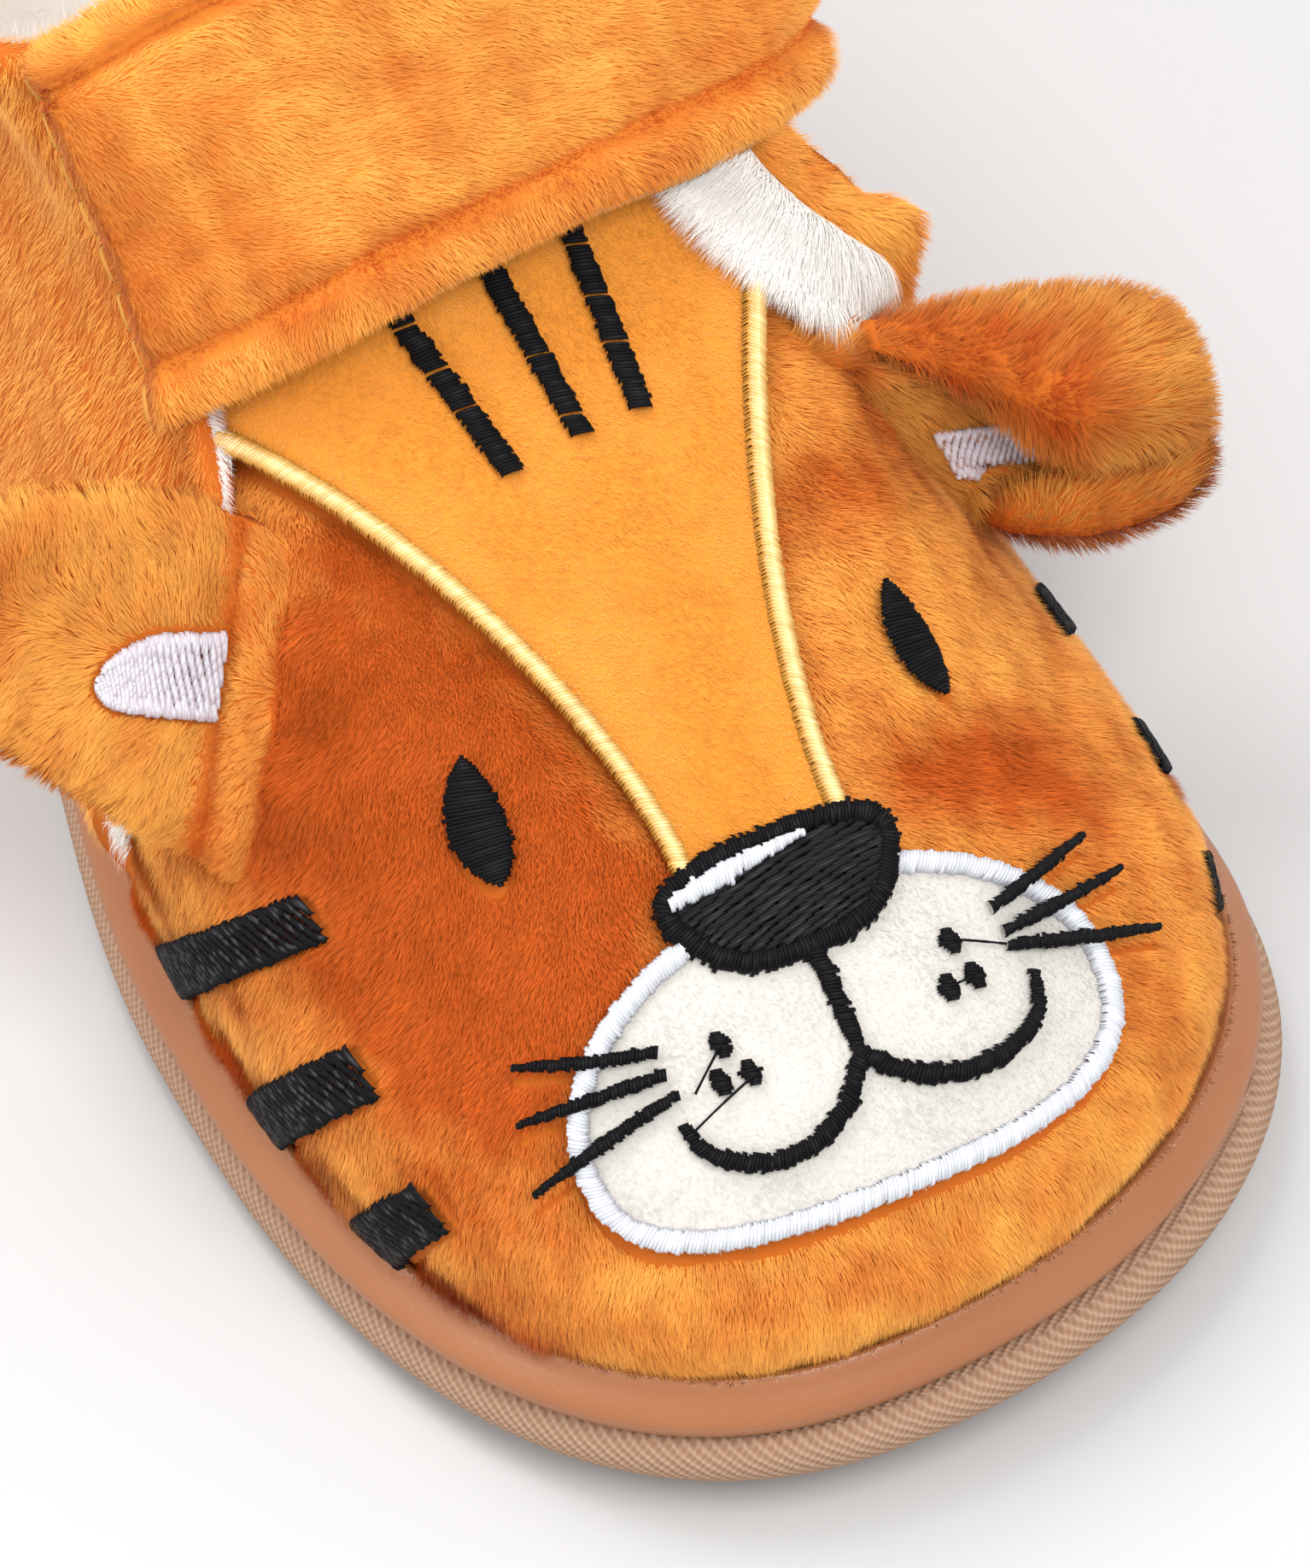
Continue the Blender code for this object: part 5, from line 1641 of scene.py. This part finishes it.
def strap_seats(front, rear, columns):
    """Seats of the strap on the hull, and the way out there, at the shares of its width in STRAP_READ."""
    hull = quarter_hull()
    across = unit(np.array([1.0, STRAP_SKEW, 0.0]))
    upward = unit(np.cross(across, rear - front))
    sweep = np.arange(*STRAP_SWEEP)

    def rays_at(degrees):
        angles = np.radians(degrees)
        return np.cos(angles)[:, None] * upward + np.sin(angles)[:, None] * across

    seats = []
    ways = []
    for share in STRAP_READ:
        axis = Vector(mix(front, rear, share) - STRAP_AXIS_DEPTH * upward)
        hits = np.array([hull.ray_cast(axis, Vector(ray))[0] for ray in rays_at(sweep)])
        runs = run_lengths(hits)
        corner = STRAP_CORNER * min(1.0, abs(2.0 * share - 1.0)) ** STRAP_CORNER_POWER
        end = np.interp(0.0, sweep, runs) + STRAP_LATERAL_REACH - corner
        way = rays_at(np.interp(end * columns, runs, sweep))
        seats.append([np.array(hull.ray_cast(axis, Vector(ray))[0]) for ray in way])
        ways.append(way)
    return np.array(seats), np.array(ways)


def strap_skins():
    """Outer and inner grids of the strap, rows from front to rear, columns from the medial end."""
    edges = (STRAP_FRONT_LEVEL, STRAP_REAR_LEVEL)
    front, rear = (ring_points(level, np.zeros(1))[0] * TO_MIDDLE for level in edges)
    rows = crowded(STRAP_ROWS)
    columns = crowded(STRAP_COLUMNS)
    seats, ways = strap_seats(front, rear, columns)
    drawn = np.interp(columns, *np.array(STRAP_DRAWN).T)
    wider = 1.0 + np.interp(columns, *np.array(STRAP_WIDER).T)
    at = np.interp(mix(drawn[None, :], wider[None, :], rows[:, None]), STRAP_READ, np.arange(len(STRAP_READ)))
    low = np.minimum(at.astype(int), len(STRAP_READ) - 2)
    column = np.arange(len(columns))[None, :]
    part = (at - low)[..., None]
    seats = mix(seats[low, column], seats[low + 1, column], part)
    ways = unit(mix(ways[low, column], ways[low + 1, column], part))
    width = np.linalg.norm(rear - front)
    length = run_lengths(seats[STRAP_ROWS // 2])[-1]
    s, k = np.meshgrid(rows, columns, indexing="ij")
    side_puff = 1.0 - np.abs(2.0 * s - 1.0) ** STRAP_ROUND
    end_puff = 1.0 - np.abs(2.0 * k - 1.0) ** STRAP_END_ROUND
    puff = np.sqrt(side_puff * end_puff)
    from_rear = (1.0 - s) * width * HEM_IN / REAR_HEM_IN
    from_edge = np.minimum(np.minimum(s * width, from_rear), (1.0 - k) * length)
    puff *= mix(SEWN_THICK, 1.0, smooth_step(k * length / SEWN_REACH))
    hem = HEM_DEPTH * bell((from_edge - HEM_IN) / HEM_WIDTH)
    swell = STRAP_SWELL * wander(seats, STRAP_SWELL_WAVE, STRAP_SWELL_SEED)
    thick = np.maximum(STRAP_THICK * puff - hem + swell * puff, STRAP_LEAST)
    inner = seats + ways * STRAP_GAP
    outer = inner + ways * thick[..., None]
    return outer, inner, from_edge, k


def make_strap():
    outer, inner, from_edge, place_along = strap_skins()
    piece = two_faced("strap_body", outer, inner)
    place(piece, STRAP_BACKING, ["strap"])
    normals = normals_of(outer)
    normals *= np.sign(np.mean(np.sum(normals * (outer - inner), axis=-1)))
    rearward = np.linspace(0.0, 1.0, len(outer))[:, None, None] > 0.5
    hem_nap = np.where(rearward, REAR_HEM_NAP, FRONT_HEM_NAP) + np.zeros(outer.shape)
    rng = dice(STRAP_SEED)
    spots = scatter(Skin(outer, normals, from_edge, place_along, hem_nap), STRAP_HAIRS, rng)
    seam_share = place_along[0, SEAM_COLUMN]
    nap = mix(STRAP_NAP, spots.flow, smooth_step((HEM_IN - spots.level) / HEM_WIDTH)[:, None])
    nap = np.where((spots.share < seam_share)[:, None], SEWN_NAP, nap)
    # Painted shade: the pile is darker in the hem's groove and along the sewn seam.
    groove = bell((spots.level - HEM_IN) / (GROOVE_WIDTH * HEM_WIDTH))
    groove = np.maximum(groove, bell((spots.share - seam_share) / SEAM_HALF))
    tone = np.clip(patchy(spots.points, STRAP_TONE), 0.0, 1.0)
    tone = np.clip(tone + GROOVE_PAINTED_SHADE * groove, 0.0, 1.0)
    add_pile("strap_pile", spots, nap, tone, STRAP_PLUSH, rng, 1.0 - GROOVE_SHORT * groove)
    strap_threads(outer, normals)


def strap_threads(outer, normals):
    """A running stitch at the sewn medial end, and a twisted thread under the front edge."""
    count = SEAM_STITCHES * SEAM_STEP + 1
    line = smooth_path(outer[SEAM_ROWS, SEAM_COLUMN], count)
    facing = smooth_path(normals[SEAM_ROWS, SEAM_COLUMN], count)[:-1:SEAM_STEP]
    starts = line[:-1:SEAM_STEP] + facing * SEAM_LIFT
    ends = line[SEAM_STEP - SEAM_OPEN::SEAM_STEP][:len(starts)] + facing * SEAM_LIFT
    stitches("strap_seam", (starts, ends, unit(facing)), STRAP_SEAM)
    edge = outer[0, TWIST_COLUMNS] + TWIST_SHIFT
    up = unit(np.tile(TWIST_UP, (len(edge), 1)))
    stitches("strap_twist", satin(edge, up, TWIST_HALF, pitch=0.42, slant=1.6, ragged=0.03), STRAP_TWIST)


make_strap()

# Ears. A section goes from the lower to the upper rim: share, place across in half widths, way forward.
# upper says how far the upper half reaches near the base and further out
Ear = namedtuple(
    "Ear",
    "name side u_front u_back level_low level_high along length half_width lift thick upper shear square"
    " parting shade seam_depth patch section",
)
# A stitched patch: middle and half of its width, start and end along the ear, and slant across it
EarPatch = namedtuple("EarPatch", "middle half start end slant")
EARS = (
    Ear(
        name="ear_lateral", side=LATERAL, u_front=0.84, u_back=0.93, level_low=3.4, level_high=6.12,
        along=(22.0, -6.0, -0.8), length=27.3, half_width=11.0, lift=0.0, thick=6.2, upper=(1.15, 0.64),
        shear=0.5, square=5.0, parting=0.74, shade=0.72, seam_depth=0.0,
        patch=EarPatch(-0.26, 0.2, 0.21, 0.64, -0.6),
        section=(
            (-1.0, -0.34, 7.5), (-0.82, -0.60, 7.0), (-0.64, -0.74, 3.4), (-0.45, -0.55, -0.6),
            (-0.1, -0.05, -2.0), (0.25, 0.62, -1.0), (0.46, 0.95, 2.4), (0.64, 0.92, 6.6),
            (0.82, 0.46, 9.6), (1.0, -0.22, 9.2),
        ),
    ),
    Ear(
        name="ear_medial", side=MEDIAL, u_front=0.80, u_back=0.91, level_low=3.7, level_high=5.95,
        along=(-18.0, 11.0, 9.0), length=29.0, half_width=14.5, lift=-1.0, thick=6.0, upper=(1.0, 1.0),
        shear=0.0, square=2.3, parting=0.1, shade=0.87, seam_depth=1.8,
        patch=EarPatch(0.12, 0.26, 0.21, 0.48, -1.0),
        section=((-1.0, -0.72, 1.6), (-0.5, -0.45, 0.0), (0.0, 0.0, -0.4), (0.5, 0.55, 0.4), (1.0, 1.0, 2.2)),
    ),
)
EAR_SHARES = np.concatenate([np.linspace(0.0, 0.84, 26), np.linspace(0.87, 0.995, 9)])
EAR_TURNS = np.sin(np.linspace(-1.0, 1.0, 53) * math.pi / 2.0)
EAR_NUDGE = np.array((-0.01, 0.0, 0.01))
EAR_FREED = 0.35
EAR_CURLED = 0.6
EAR_SINK = -1.3
EAR_SECTION_POINTS = 120
EAR_TIP_POWER = 5
EAR_TIP_LEAST = 0.02
EAR_RIM_POWER = 6
EAR_RIM_LEAST = 0.03
EAR_SLIM = 0.4
EAR_SEAM = 0.2
EAR_SEAM_HALF = 0.035
EAR_SEAM_PAINTED_SHADE = 0.7
EAR_SEAM_PAINTED_SHADE_HALF = 0.018
EAR_FOOT_PAINTED_SHADE = 0.25
EAR_FOOT_FADE = 0.04
EAR_FOOT_SHORT = 0.6
EAR_SEAM_SHORT = 0.3
EAR_SEAM_FADE = 0.06
EAR_FRONT_HAIRS = 27000
EAR_BACK_HAIRS = 19000
EAR_SEED = 22
EAR_FAN = 1.1
EAR_PARTING_HALF = 0.15
EAR_TONE = Tone(0.14, 0.14, 9.0, 23, 0.1, 3.5, 24)
# Dark places on an ear: along and across it, with half lengths, and how dark
EarShadow = namedtuple("EarShadow", "s q half_s half_q dark base")
EAR_SHADOWS = {
    LATERAL: EarShadow(0.42, 0.74, 0.26, 0.14, 0.75, 0.12),
    MEDIAL: EarShadow(0.85, 0.35, 0.16, 0.35, 0.7, 0.0),
}
PATCH_ROWS = 60
PATCH_PER_ROW = 4
PATCH_LIFT = 0.7
PATCH_POWER = 3.5


def ear_grids(ear):
    """Front and back face of an ear, rows from base to rim, columns from the lower to the upper rim."""
    q = EAR_TURNS
    levels = mix(ear.level_low, ear.level_high, (q + 1.0) / 2.0)
    seats = {}
    for face, share in ((1, ear.u_front), (-1, ear.u_back)):
        skin = pattern_skin(levels, ear.side * share + EAR_NUDGE, vamp_runs)
        seats[face] = skin.points[:, 1] + skin.normals[:, 1] * EAR_SINK
    middle = (np.mean(seats[1], axis=0) + np.mean(seats[-1], axis=0)) / 2.0
    along = unit(np.array(ear.along))
    width = unit(seats[1][-1] - seats[1][0])
    facing = unit(np.cross(along, width) * ear.side)
    bend = smooth_path(ear.section, EAR_SECTION_POINTS)
    across = np.interp(q, bend[:, 0], bend[:, 1])
    forward = np.interp(q, bend[:, 0], bend[:, 2])
    faces = {1: [], -1: []}
    for s in EAR_SHARES:
        freed = smooth_step(s / EAR_FREED)
        curl = smooth_step(s / EAR_CURLED)
        end_puff = math.sqrt(max(EAR_TIP_LEAST, 1.0 - s**EAR_TIP_POWER))
        half = ear.half_width * (1.0 - s**ear.square) ** (1.0 / ear.square)
        slim = EAR_SLIM + (1.0 - EAR_SLIM) * half / ear.half_width
        centre = middle + along * ear.length * s + width * ear.lift * math.sin(math.pi * s / 2.0)
        spread = np.where(q > 0.0, mix(*ear.upper, curl), 1.0)
        upright = unit(width + along * ear.shear * freed)
        line = centre + upright * (half * spread * mix(q, across, curl))[:, None]
        line = line + facing * (forward * curl * slim)[:, None]
        tangent = unit(np.gradient(line, axis=0))
        normal = unit(np.cross(along, tangent) * ear.side)
        puff = end_puff * np.sqrt(np.maximum(EAR_RIM_LEAST, 1.0 - q**EAR_RIM_POWER))
        seam = ear.seam_depth * bell((s - EAR_SEAM) / EAR_SEAM_HALF)
        for face in (1, -1):
            half_thick = ear.thick * puff / 2.0 - (seam if face > 0 else 0.0)
            free = line + normal * (face * half_thick)[:, None]
            faces[face].append(mix(seats[face], free, freed))
    return np.array(faces[1]), np.array(faces[-1]), along


def read_grid(grid, s, q):
    """A face of an ear at shares s along it and q across it."""
    i = np.interp(s, EAR_SHARES, np.arange(len(EAR_SHARES)))
    j = np.interp(q, EAR_TURNS, np.arange(len(EAR_TURNS)))
    r = np.minimum(i.astype(int), len(EAR_SHARES) - 2)
    c = np.minimum(j.astype(int), len(EAR_TURNS) - 2)
    return between(grid, r, c, (j - c)[:, None], (i - r)[:, None])


def patch_half(patch, s):
    """Half width of the stitched patch at a share along the ear."""
    reach = np.clip((s - patch.start) / (patch.end - patch.start), 0.0, 1.0)
    return patch.half * np.sqrt(1.0 - reach**PATCH_POWER)


def patch_middle(patch, s):
    return patch.middle + patch.slant * (s - patch.start)


def ear_tone(spots, side):
    s, q = spots.level, spots.share
    shadow = EAR_SHADOWS[side]
    away = ((s - shadow.s) / shadow.half_s) ** 2 + ((q - shadow.q) / shadow.half_q) ** 2
    tone = patchy(spots.points, EAR_TONE) + shadow.base + shadow.dark * np.exp(-away)
    if side == MEDIAL:
        # Painted shade along the medial ear's seam crease, and below it towards the foot.
        tone += EAR_SEAM_PAINTED_SHADE * bell((s - EAR_SEAM) / EAR_SEAM_PAINTED_SHADE_HALF)
        tone += EAR_FOOT_PAINTED_SHADE * smooth_step((EAR_SEAM - s) / EAR_FOOT_FADE)
    return np.clip(tone, 0.0, 1.0)


def ear_scale(spots, side):
    """Hairs are shorter along the medial ear's seam and below it."""
    if side == LATERAL:
        return 1.0
    near_seam = mix(EAR_SEAM_SHORT, 1.0, smooth_step(np.abs(spots.level - EAR_SEAM) / EAR_SEAM_FADE))
    return near_seam * mix(1.0, EAR_FOOT_SHORT, smooth_step((EAR_SEAM - spots.level) / EAR_FOOT_FADE))


def make_ear(ear):
    front, back, along = ear_grids(ear)
    sign = np.sign(np.mean(np.sum(normals_of(front) * (front - back), axis=-1)))
    order = slice(None) if sign > 0.0 else slice(None, None, -1)
    piece = two_faced(ear.name + "_body", front[:, order], back[:, order])
    place(piece, BACKING, [ear.name])
    rng = dice(EAR_SEED + ear.side)
    s_grid, q_grid = np.meshgrid(EAR_SHARES, EAR_TURNS, indexing="ij")
    patch = ear.patch

    def off_patch(spots):
        inside = (spots.level > patch.start) & (spots.level < patch.end)
        from_middle = np.abs(spots.share - patch_middle(patch, spots.level))
        return ~(inside & (from_middle < patch_half(patch, spots.level)))

    groups = []
    faces = ((front, EAR_FRONT_HAIRS, 1.0, off_patch), (back, EAR_BACK_HAIRS, -1.0, None))
    for grid, count, turn, keep in faces:
        normals = normals_of(grid) * sign * turn
        parted = np.tanh((q_grid - ear.parting) / EAR_PARTING_HALF)
        flow = along + unit(np.gradient(grid, axis=1)) * (EAR_FAN * parted)[..., None]
        groups.append(scatter(Skin(grid, normals, s_grid, q_grid, flow), count, rng, keep))
    spots = Skin(*joined(groups))
    # Painted shade: each ear's plush colours are scaled darker by its shade.
    pile = EAR_PLUSH._replace(colours=Colours(*(colour * ear.shade for colour in PLUSH_COLOURS)))
    scale = ear_scale(spots, ear.side)
    add_pile(ear.name + "_pile", spots, spots.flow, ear_tone(spots, ear.side), pile, rng, scale)
    front_normals = normals_of(front) * sign

    def at(u, v):
        s = mix(patch.start, patch.end, v)
        q = patch_middle(patch, s) + (2.0 * u - 1.0) * patch_half(patch, s)
        normal = unit(read_grid(front_normals, s, q))
        return read_grid(front, s, q) + normal * PATCH_LIFT, normal

    stitches(ear.name + "_patch", fill(at, PATCH_ROWS, PATCH_PER_ROW, skew=0.012), EAR_PATCH)


for ear in EARS:
    make_ear(ear)

# Long white fur at the throat slits, at the foot of the medial slit and inside the collar
Fur = namedtuple(
    "Fur", "name side level_low level_high hairs length root_lift tip_lift reach back flow_high flow_low"
)
FURS = (
    Fur(
        "fur_lateral", LATERAL, 5.3, 7.4, 7500, 4.8, 3.0, 1.2, 2.0, 3.6, (-0.93, -0.10, -0.34),
        (-0.10, -0.85, -0.45),
    ),
    Fur("fur_medial", MEDIAL, 5.9, 6.7, 1100, 2.6, 1.6, 1.0, 1.0, 0.8, (0.6, -0.5, -0.3), (0.3, -0.8, -0.4)),
)
FUR_GRID = (25, 11)
FUR_SEED = 50
FUR_WIDTH = 0.12
FUR_WIDTHS = (0.7, 1.3)
FUR_LENGTHS = (0.6, 1.15)
FUR_STANDS = (0.6, 1.3)
FUR_STRAY = 0.30
FUR_UNEVEN = 0.03
FUR_POINTS = 4
FUR_BEND = 0.62
FUR_LIE = 0.45
FUR_LOCK = 1.7
FUR_GATHER = 0.35
FUR_BLADE = 0.3
FUR_RISE = 0.55
FUR_FLARE = 0.6
FUR_BASE_LIFT = 0.3
COLLAR_FUR_LENGTH = 4.2
COLLAR_FUR_RISE = 0.6
COLLAR_FUR_SEED = 60
COLLAR_FUR_HAIRS = 4400
COLLAR_FUR_ROWS = slice(78, 91)
TONGUE_FUR_HAIRS = 1800
TONGUE_FUR_ROWS = slice(80, 91)
TUFT_HAIRS = 300
TUFT_SEED = 61
TUFT_ROWS = slice(20, 30)
TUFT_COLUMNS = slice(0, 3)
TUFT_LEVEL = 2.6
TUFT_HALF = 0.3
TUFT_FLOW = np.array((-0.3, -0.2, -1.0))
TUFT_STRAY = 0.45
TUFT_LENGTH = 3.6
TUFT_RISE = 0.7


def add_fur(name, spots, flow, length, rise, rng):
    """Long fine hairs that stand up at the root and then lie along the flow."""
    count = len(spots.points)
    flow = turned(in_surface(flow, spots.normals), spots.normals, rng.normal(0.0, FUR_STRAY, count))
    lengths = length * rng.uniform(*FUR_LENGTHS, count)
    stand = rise * rng.uniform(*FUR_STANDS, count)
    t = np.linspace(0.0, 1.0, FUR_POINTS)[None, :, None]
    bend = spots.normals[:, None, :] * (stand[:, None, None] * t * (1.0 - FUR_BEND * t))
    lie = flow[:, None, :] * (t * (FUR_LIE + (1.0 - FUR_LIE) * t))
    paths = spots.points[:, None, :] + lengths[:, None, None] * (bend + lie)
    tips = gathered(spots.points, paths[:, -1], FUR_LOCK, FUR_GATHER)
    paths = paths + (tips - paths[:, -1])[:, None, :] * t**2
    along = unit(paths[:, 2] - paths[:, 0])
    across = unit(np.cross(along, spots.normals))
    shade = (1.0 + rng.normal(0.0, FUR_UNEVEN, count))[:, None, None]
    # Painted shade: the fur is darker from the root to halfway along each hair.
    tint = mix(CREAM_ROOT, CREAM_TIP, smooth_step(t * 2.0)) * shade
    widths = FUR_WIDTH * rng.uniform(*FUR_WIDTHS, count)
    normals = unit(mix(spots.normals, np.cross(across, along), FUR_BLADE))
    place(strands(name, paths, across, widths, tint, normals), CREAM_HAIR)


def make_fur(fur):
    def runs_of(level, shares):
        edge = vamp_runs(level, np.array([float(fur.side)]))[0] - fur.side * fur.reach
        return mix(edge, fur.side * (quarter_edge(level, fur.side) - fur.back), shares)

    rows, columns = FUR_GRID
    levels = np.linspace(fur.level_low, fur.level_high, rows)
    shares = np.linspace(0.0, 1.0, columns)[::fur.side]
    flat = pattern_skin(levels, shares, runs_of)
    rise = mix(fur.tip_lift, fur.root_lift, smooth_step(flat.share))
    rise = rise + np.stack([FUR_FLARE * flare(level, runs_of(level, shares)) for level in levels])
    top = lifted(flat, rise)
    piece = two_faced(fur.name + "_body", top.points, lifted(flat, FUR_BASE_LIFT).points)
    place(piece, LINING, [fur.name])
    rng = dice(FUR_SEED + fur.side)
    spots = scatter(top, fur.hairs, rng)
    high = smooth_step((spots.level - fur.level_low) / (fur.level_high - fur.level_low))[:, None]
    flow = mix(np.array(fur.flow_low), np.array(fur.flow_high), high)
    add_fur(fur.name + "_hair", spots, flow, fur.length, FUR_RISE, rng)


def make_collar_fur():
    rng = dice(COLLAR_FUR_SEED)
    for name, skin, rows, hairs in (
        ("collar_fur", QUARTER_INNER, COLLAR_FUR_ROWS, COLLAR_FUR_HAIRS),
        ("tongue_fur", VAMP_INNER, TONGUE_FUR_ROWS, TONGUE_FUR_HAIRS),
    ):
        band = part_of(skin, rows)
        spots = scatter(band._replace(normals=-band.normals), hairs, rng)
        add_fur(name, spots, UPWARD, COLLAR_FUR_LENGTH, COLLAR_FUR_RISE, rng)


def make_low_tuft():
    """A little lining shows at the foot of the medial slit."""
    rng = dice(TUFT_SEED)

    def near_foot(spots):
        return rng.random(len(spots.level)) < bell((spots.level - TUFT_LEVEL) / TUFT_HALF)

    spots = scatter(part_of(VAMP, TUFT_ROWS, TUFT_COLUMNS), TUFT_HAIRS, rng, near_foot)
    flow = TUFT_FLOW + rng.normal(0.0, TUFT_STRAY, spots.points.shape)
    add_fur("low_tuft", spots, flow, TUFT_LENGTH, TUFT_RISE, rng)


for fur in FURS:
    make_fur(fur)
make_collar_fur()
make_low_tuft()

# Fray along the rand's upper edge
FRAY_HAIRS = 4500
FRAY_SEED = 62
FRAY_IN = 2.7
FRAY_HEIGHT = 6.0
FRAY_AHEAD = 0.5
FRAY_OUT = (0.1, 1.0)
FRAY_UP = (-0.2, 1.0)
FRAY_STRAY = 0.8
FRAY_LENGTHS = (0.3, 0.9)
FRAY_WIDTH = 0.12
FRAY_TINT = np.array((0.66, 0.43, 0.26))
FRAY_UNEVEN = 0.15
FRAY_FACING_UP = 0.8


def make_fray():
    line = sole_ring(MIDSOLE_OUTLINE, -FRAY_IN, FRAY_HEIGHT, MIDSOLE_BASE)
    closed = np.vstack([line, line[:1]])
    runs = run_lengths(closed)
    rng = dice(FRAY_SEED)
    at = rng.uniform(0.0, runs[-1], FRAY_HAIRS)
    each = (FRAY_HAIRS, 1)
    root = read_line(closed, runs, at)
    tangent = unit(read_line(closed, runs, at + FRAY_AHEAD) - root)
    out = unit(np.cross(tangent, UPWARD)) * -1.0
    way = out * rng.uniform(*FRAY_OUT, each) + tangent * rng.normal(0.0, FRAY_STRAY, each)
    way = unit(way + UPWARD * rng.uniform(*FRAY_UP, each))
    tip = root + way * rng.uniform(*FRAY_LENGTHS, each)
    tint = FRAY_TINT * (1.0 + rng.normal(0.0, FRAY_UNEVEN, each))
    paths = np.stack([root, tip], axis=1)
    colours = np.stack([tint, tint], axis=1)
    widths = np.full(FRAY_HAIRS, FRAY_WIDTH)
    normals = unit(out + UPWARD * FRAY_FACING_UP)
    place(strands("rand_fray", paths, unit(np.cross(way, out)), widths, colours, normals), HAIR)


make_fray()

# Stage, in metres
AZIMUTH = math.radians(-27.0)
ELEVATION = math.radians(55.0)
DISTANCE = 0.8
TARGET = Vector((-0.0063, -0.0518, 0.049))
PIXELS_PER_METRE = 14500.0
IMAGE_HEIGHT = 1836.0
SENSOR = 36.0
FLOOR_HALF = 4.0
FLOOR_GREY = (0.53, 0.53, 0.53)
SKY_STRENGTH = 0.92
LIGHT_AIM = Vector((0.0, -0.03, 0.03))
Light = namedtuple("Light", "name spot size power")
LIGHTS = (
    Light("key", (0.1, -0.6, 1.2), 0.7, 10.5),
    Light("top", (-0.25, 0.5, 1.2), 0.7, 7.5),
    Light("left", (-0.8, 0.0, 0.6), 0.6, 2.8),
)


def make_camera():
    back = Vector((
        math.sin(AZIMUTH) * math.cos(ELEVATION),
        -math.cos(AZIMUTH) * math.cos(ELEVATION),
        math.sin(ELEVATION),
    ))
    right = Vector((math.cos(AZIMUTH), math.sin(AZIMUTH), 0.0))
    turn = Matrix((right, back.cross(right), back)).transposed().to_4x4()
    lens = bpy.data.cameras.new("camera")
    lens.sensor_fit = "AUTO"
    lens.sensor_width = SENSOR
    lens.lens = PIXELS_PER_METRE * DISTANCE / IMAGE_HEIGHT * SENSOR
    lens.dof.use_dof = False
    camera = bpy.data.objects.new("camera", lens)
    camera.matrix_world = Matrix.Translation(TARGET + DISTANCE * back) @ turn
    bpy.context.scene.collection.objects.link(camera)
    bpy.context.scene.camera = camera


def area_light(light):
    lamp = bpy.data.lights.new(light.name, "AREA")
    lamp.shape = "DISK"
    lamp.size = light.size
    lamp.energy = light.power
    lamp_object = bpy.data.objects.new(light.name, lamp)
    lamp_object.location = light.spot
    aim = LIGHT_AIM - Vector(light.spot)
    lamp_object.rotation_euler = aim.to_track_quat("-Z", "Y").to_euler()
    bpy.context.scene.collection.objects.link(lamp_object)


def make_stage():
    floor = bpy.data.meshes.new("floor")
    corners = [(x * FLOOR_HALF, y * FLOOR_HALF, 0.0) for x, y in ((-1, -1), (1, -1), (1, 1), (-1, 1))]
    floor.from_pydata(corners, [], [(0, 1, 2, 3)])
    ground = bpy.data.objects.new("floor", floor)
    bpy.context.scene.collection.objects.link(ground)
    floor.materials.append(plain("white floor", FLOOR_GREY, rough=0.8, specular=0.2))
    world = bpy.data.worlds.new("world")
    world.use_nodes = True
    sky = world.node_tree.nodes["Background"]
    sky.inputs["Color"].default_value = (1.0, 1.0, 1.0, 1.0)
    sky.inputs["Strength"].default_value = SKY_STRENGTH
    bpy.context.scene.world = world
    for light in LIGHTS:
        area_light(light)
    bpy.context.scene.view_settings.view_transform = "Standard"


make_camera()
make_stage()
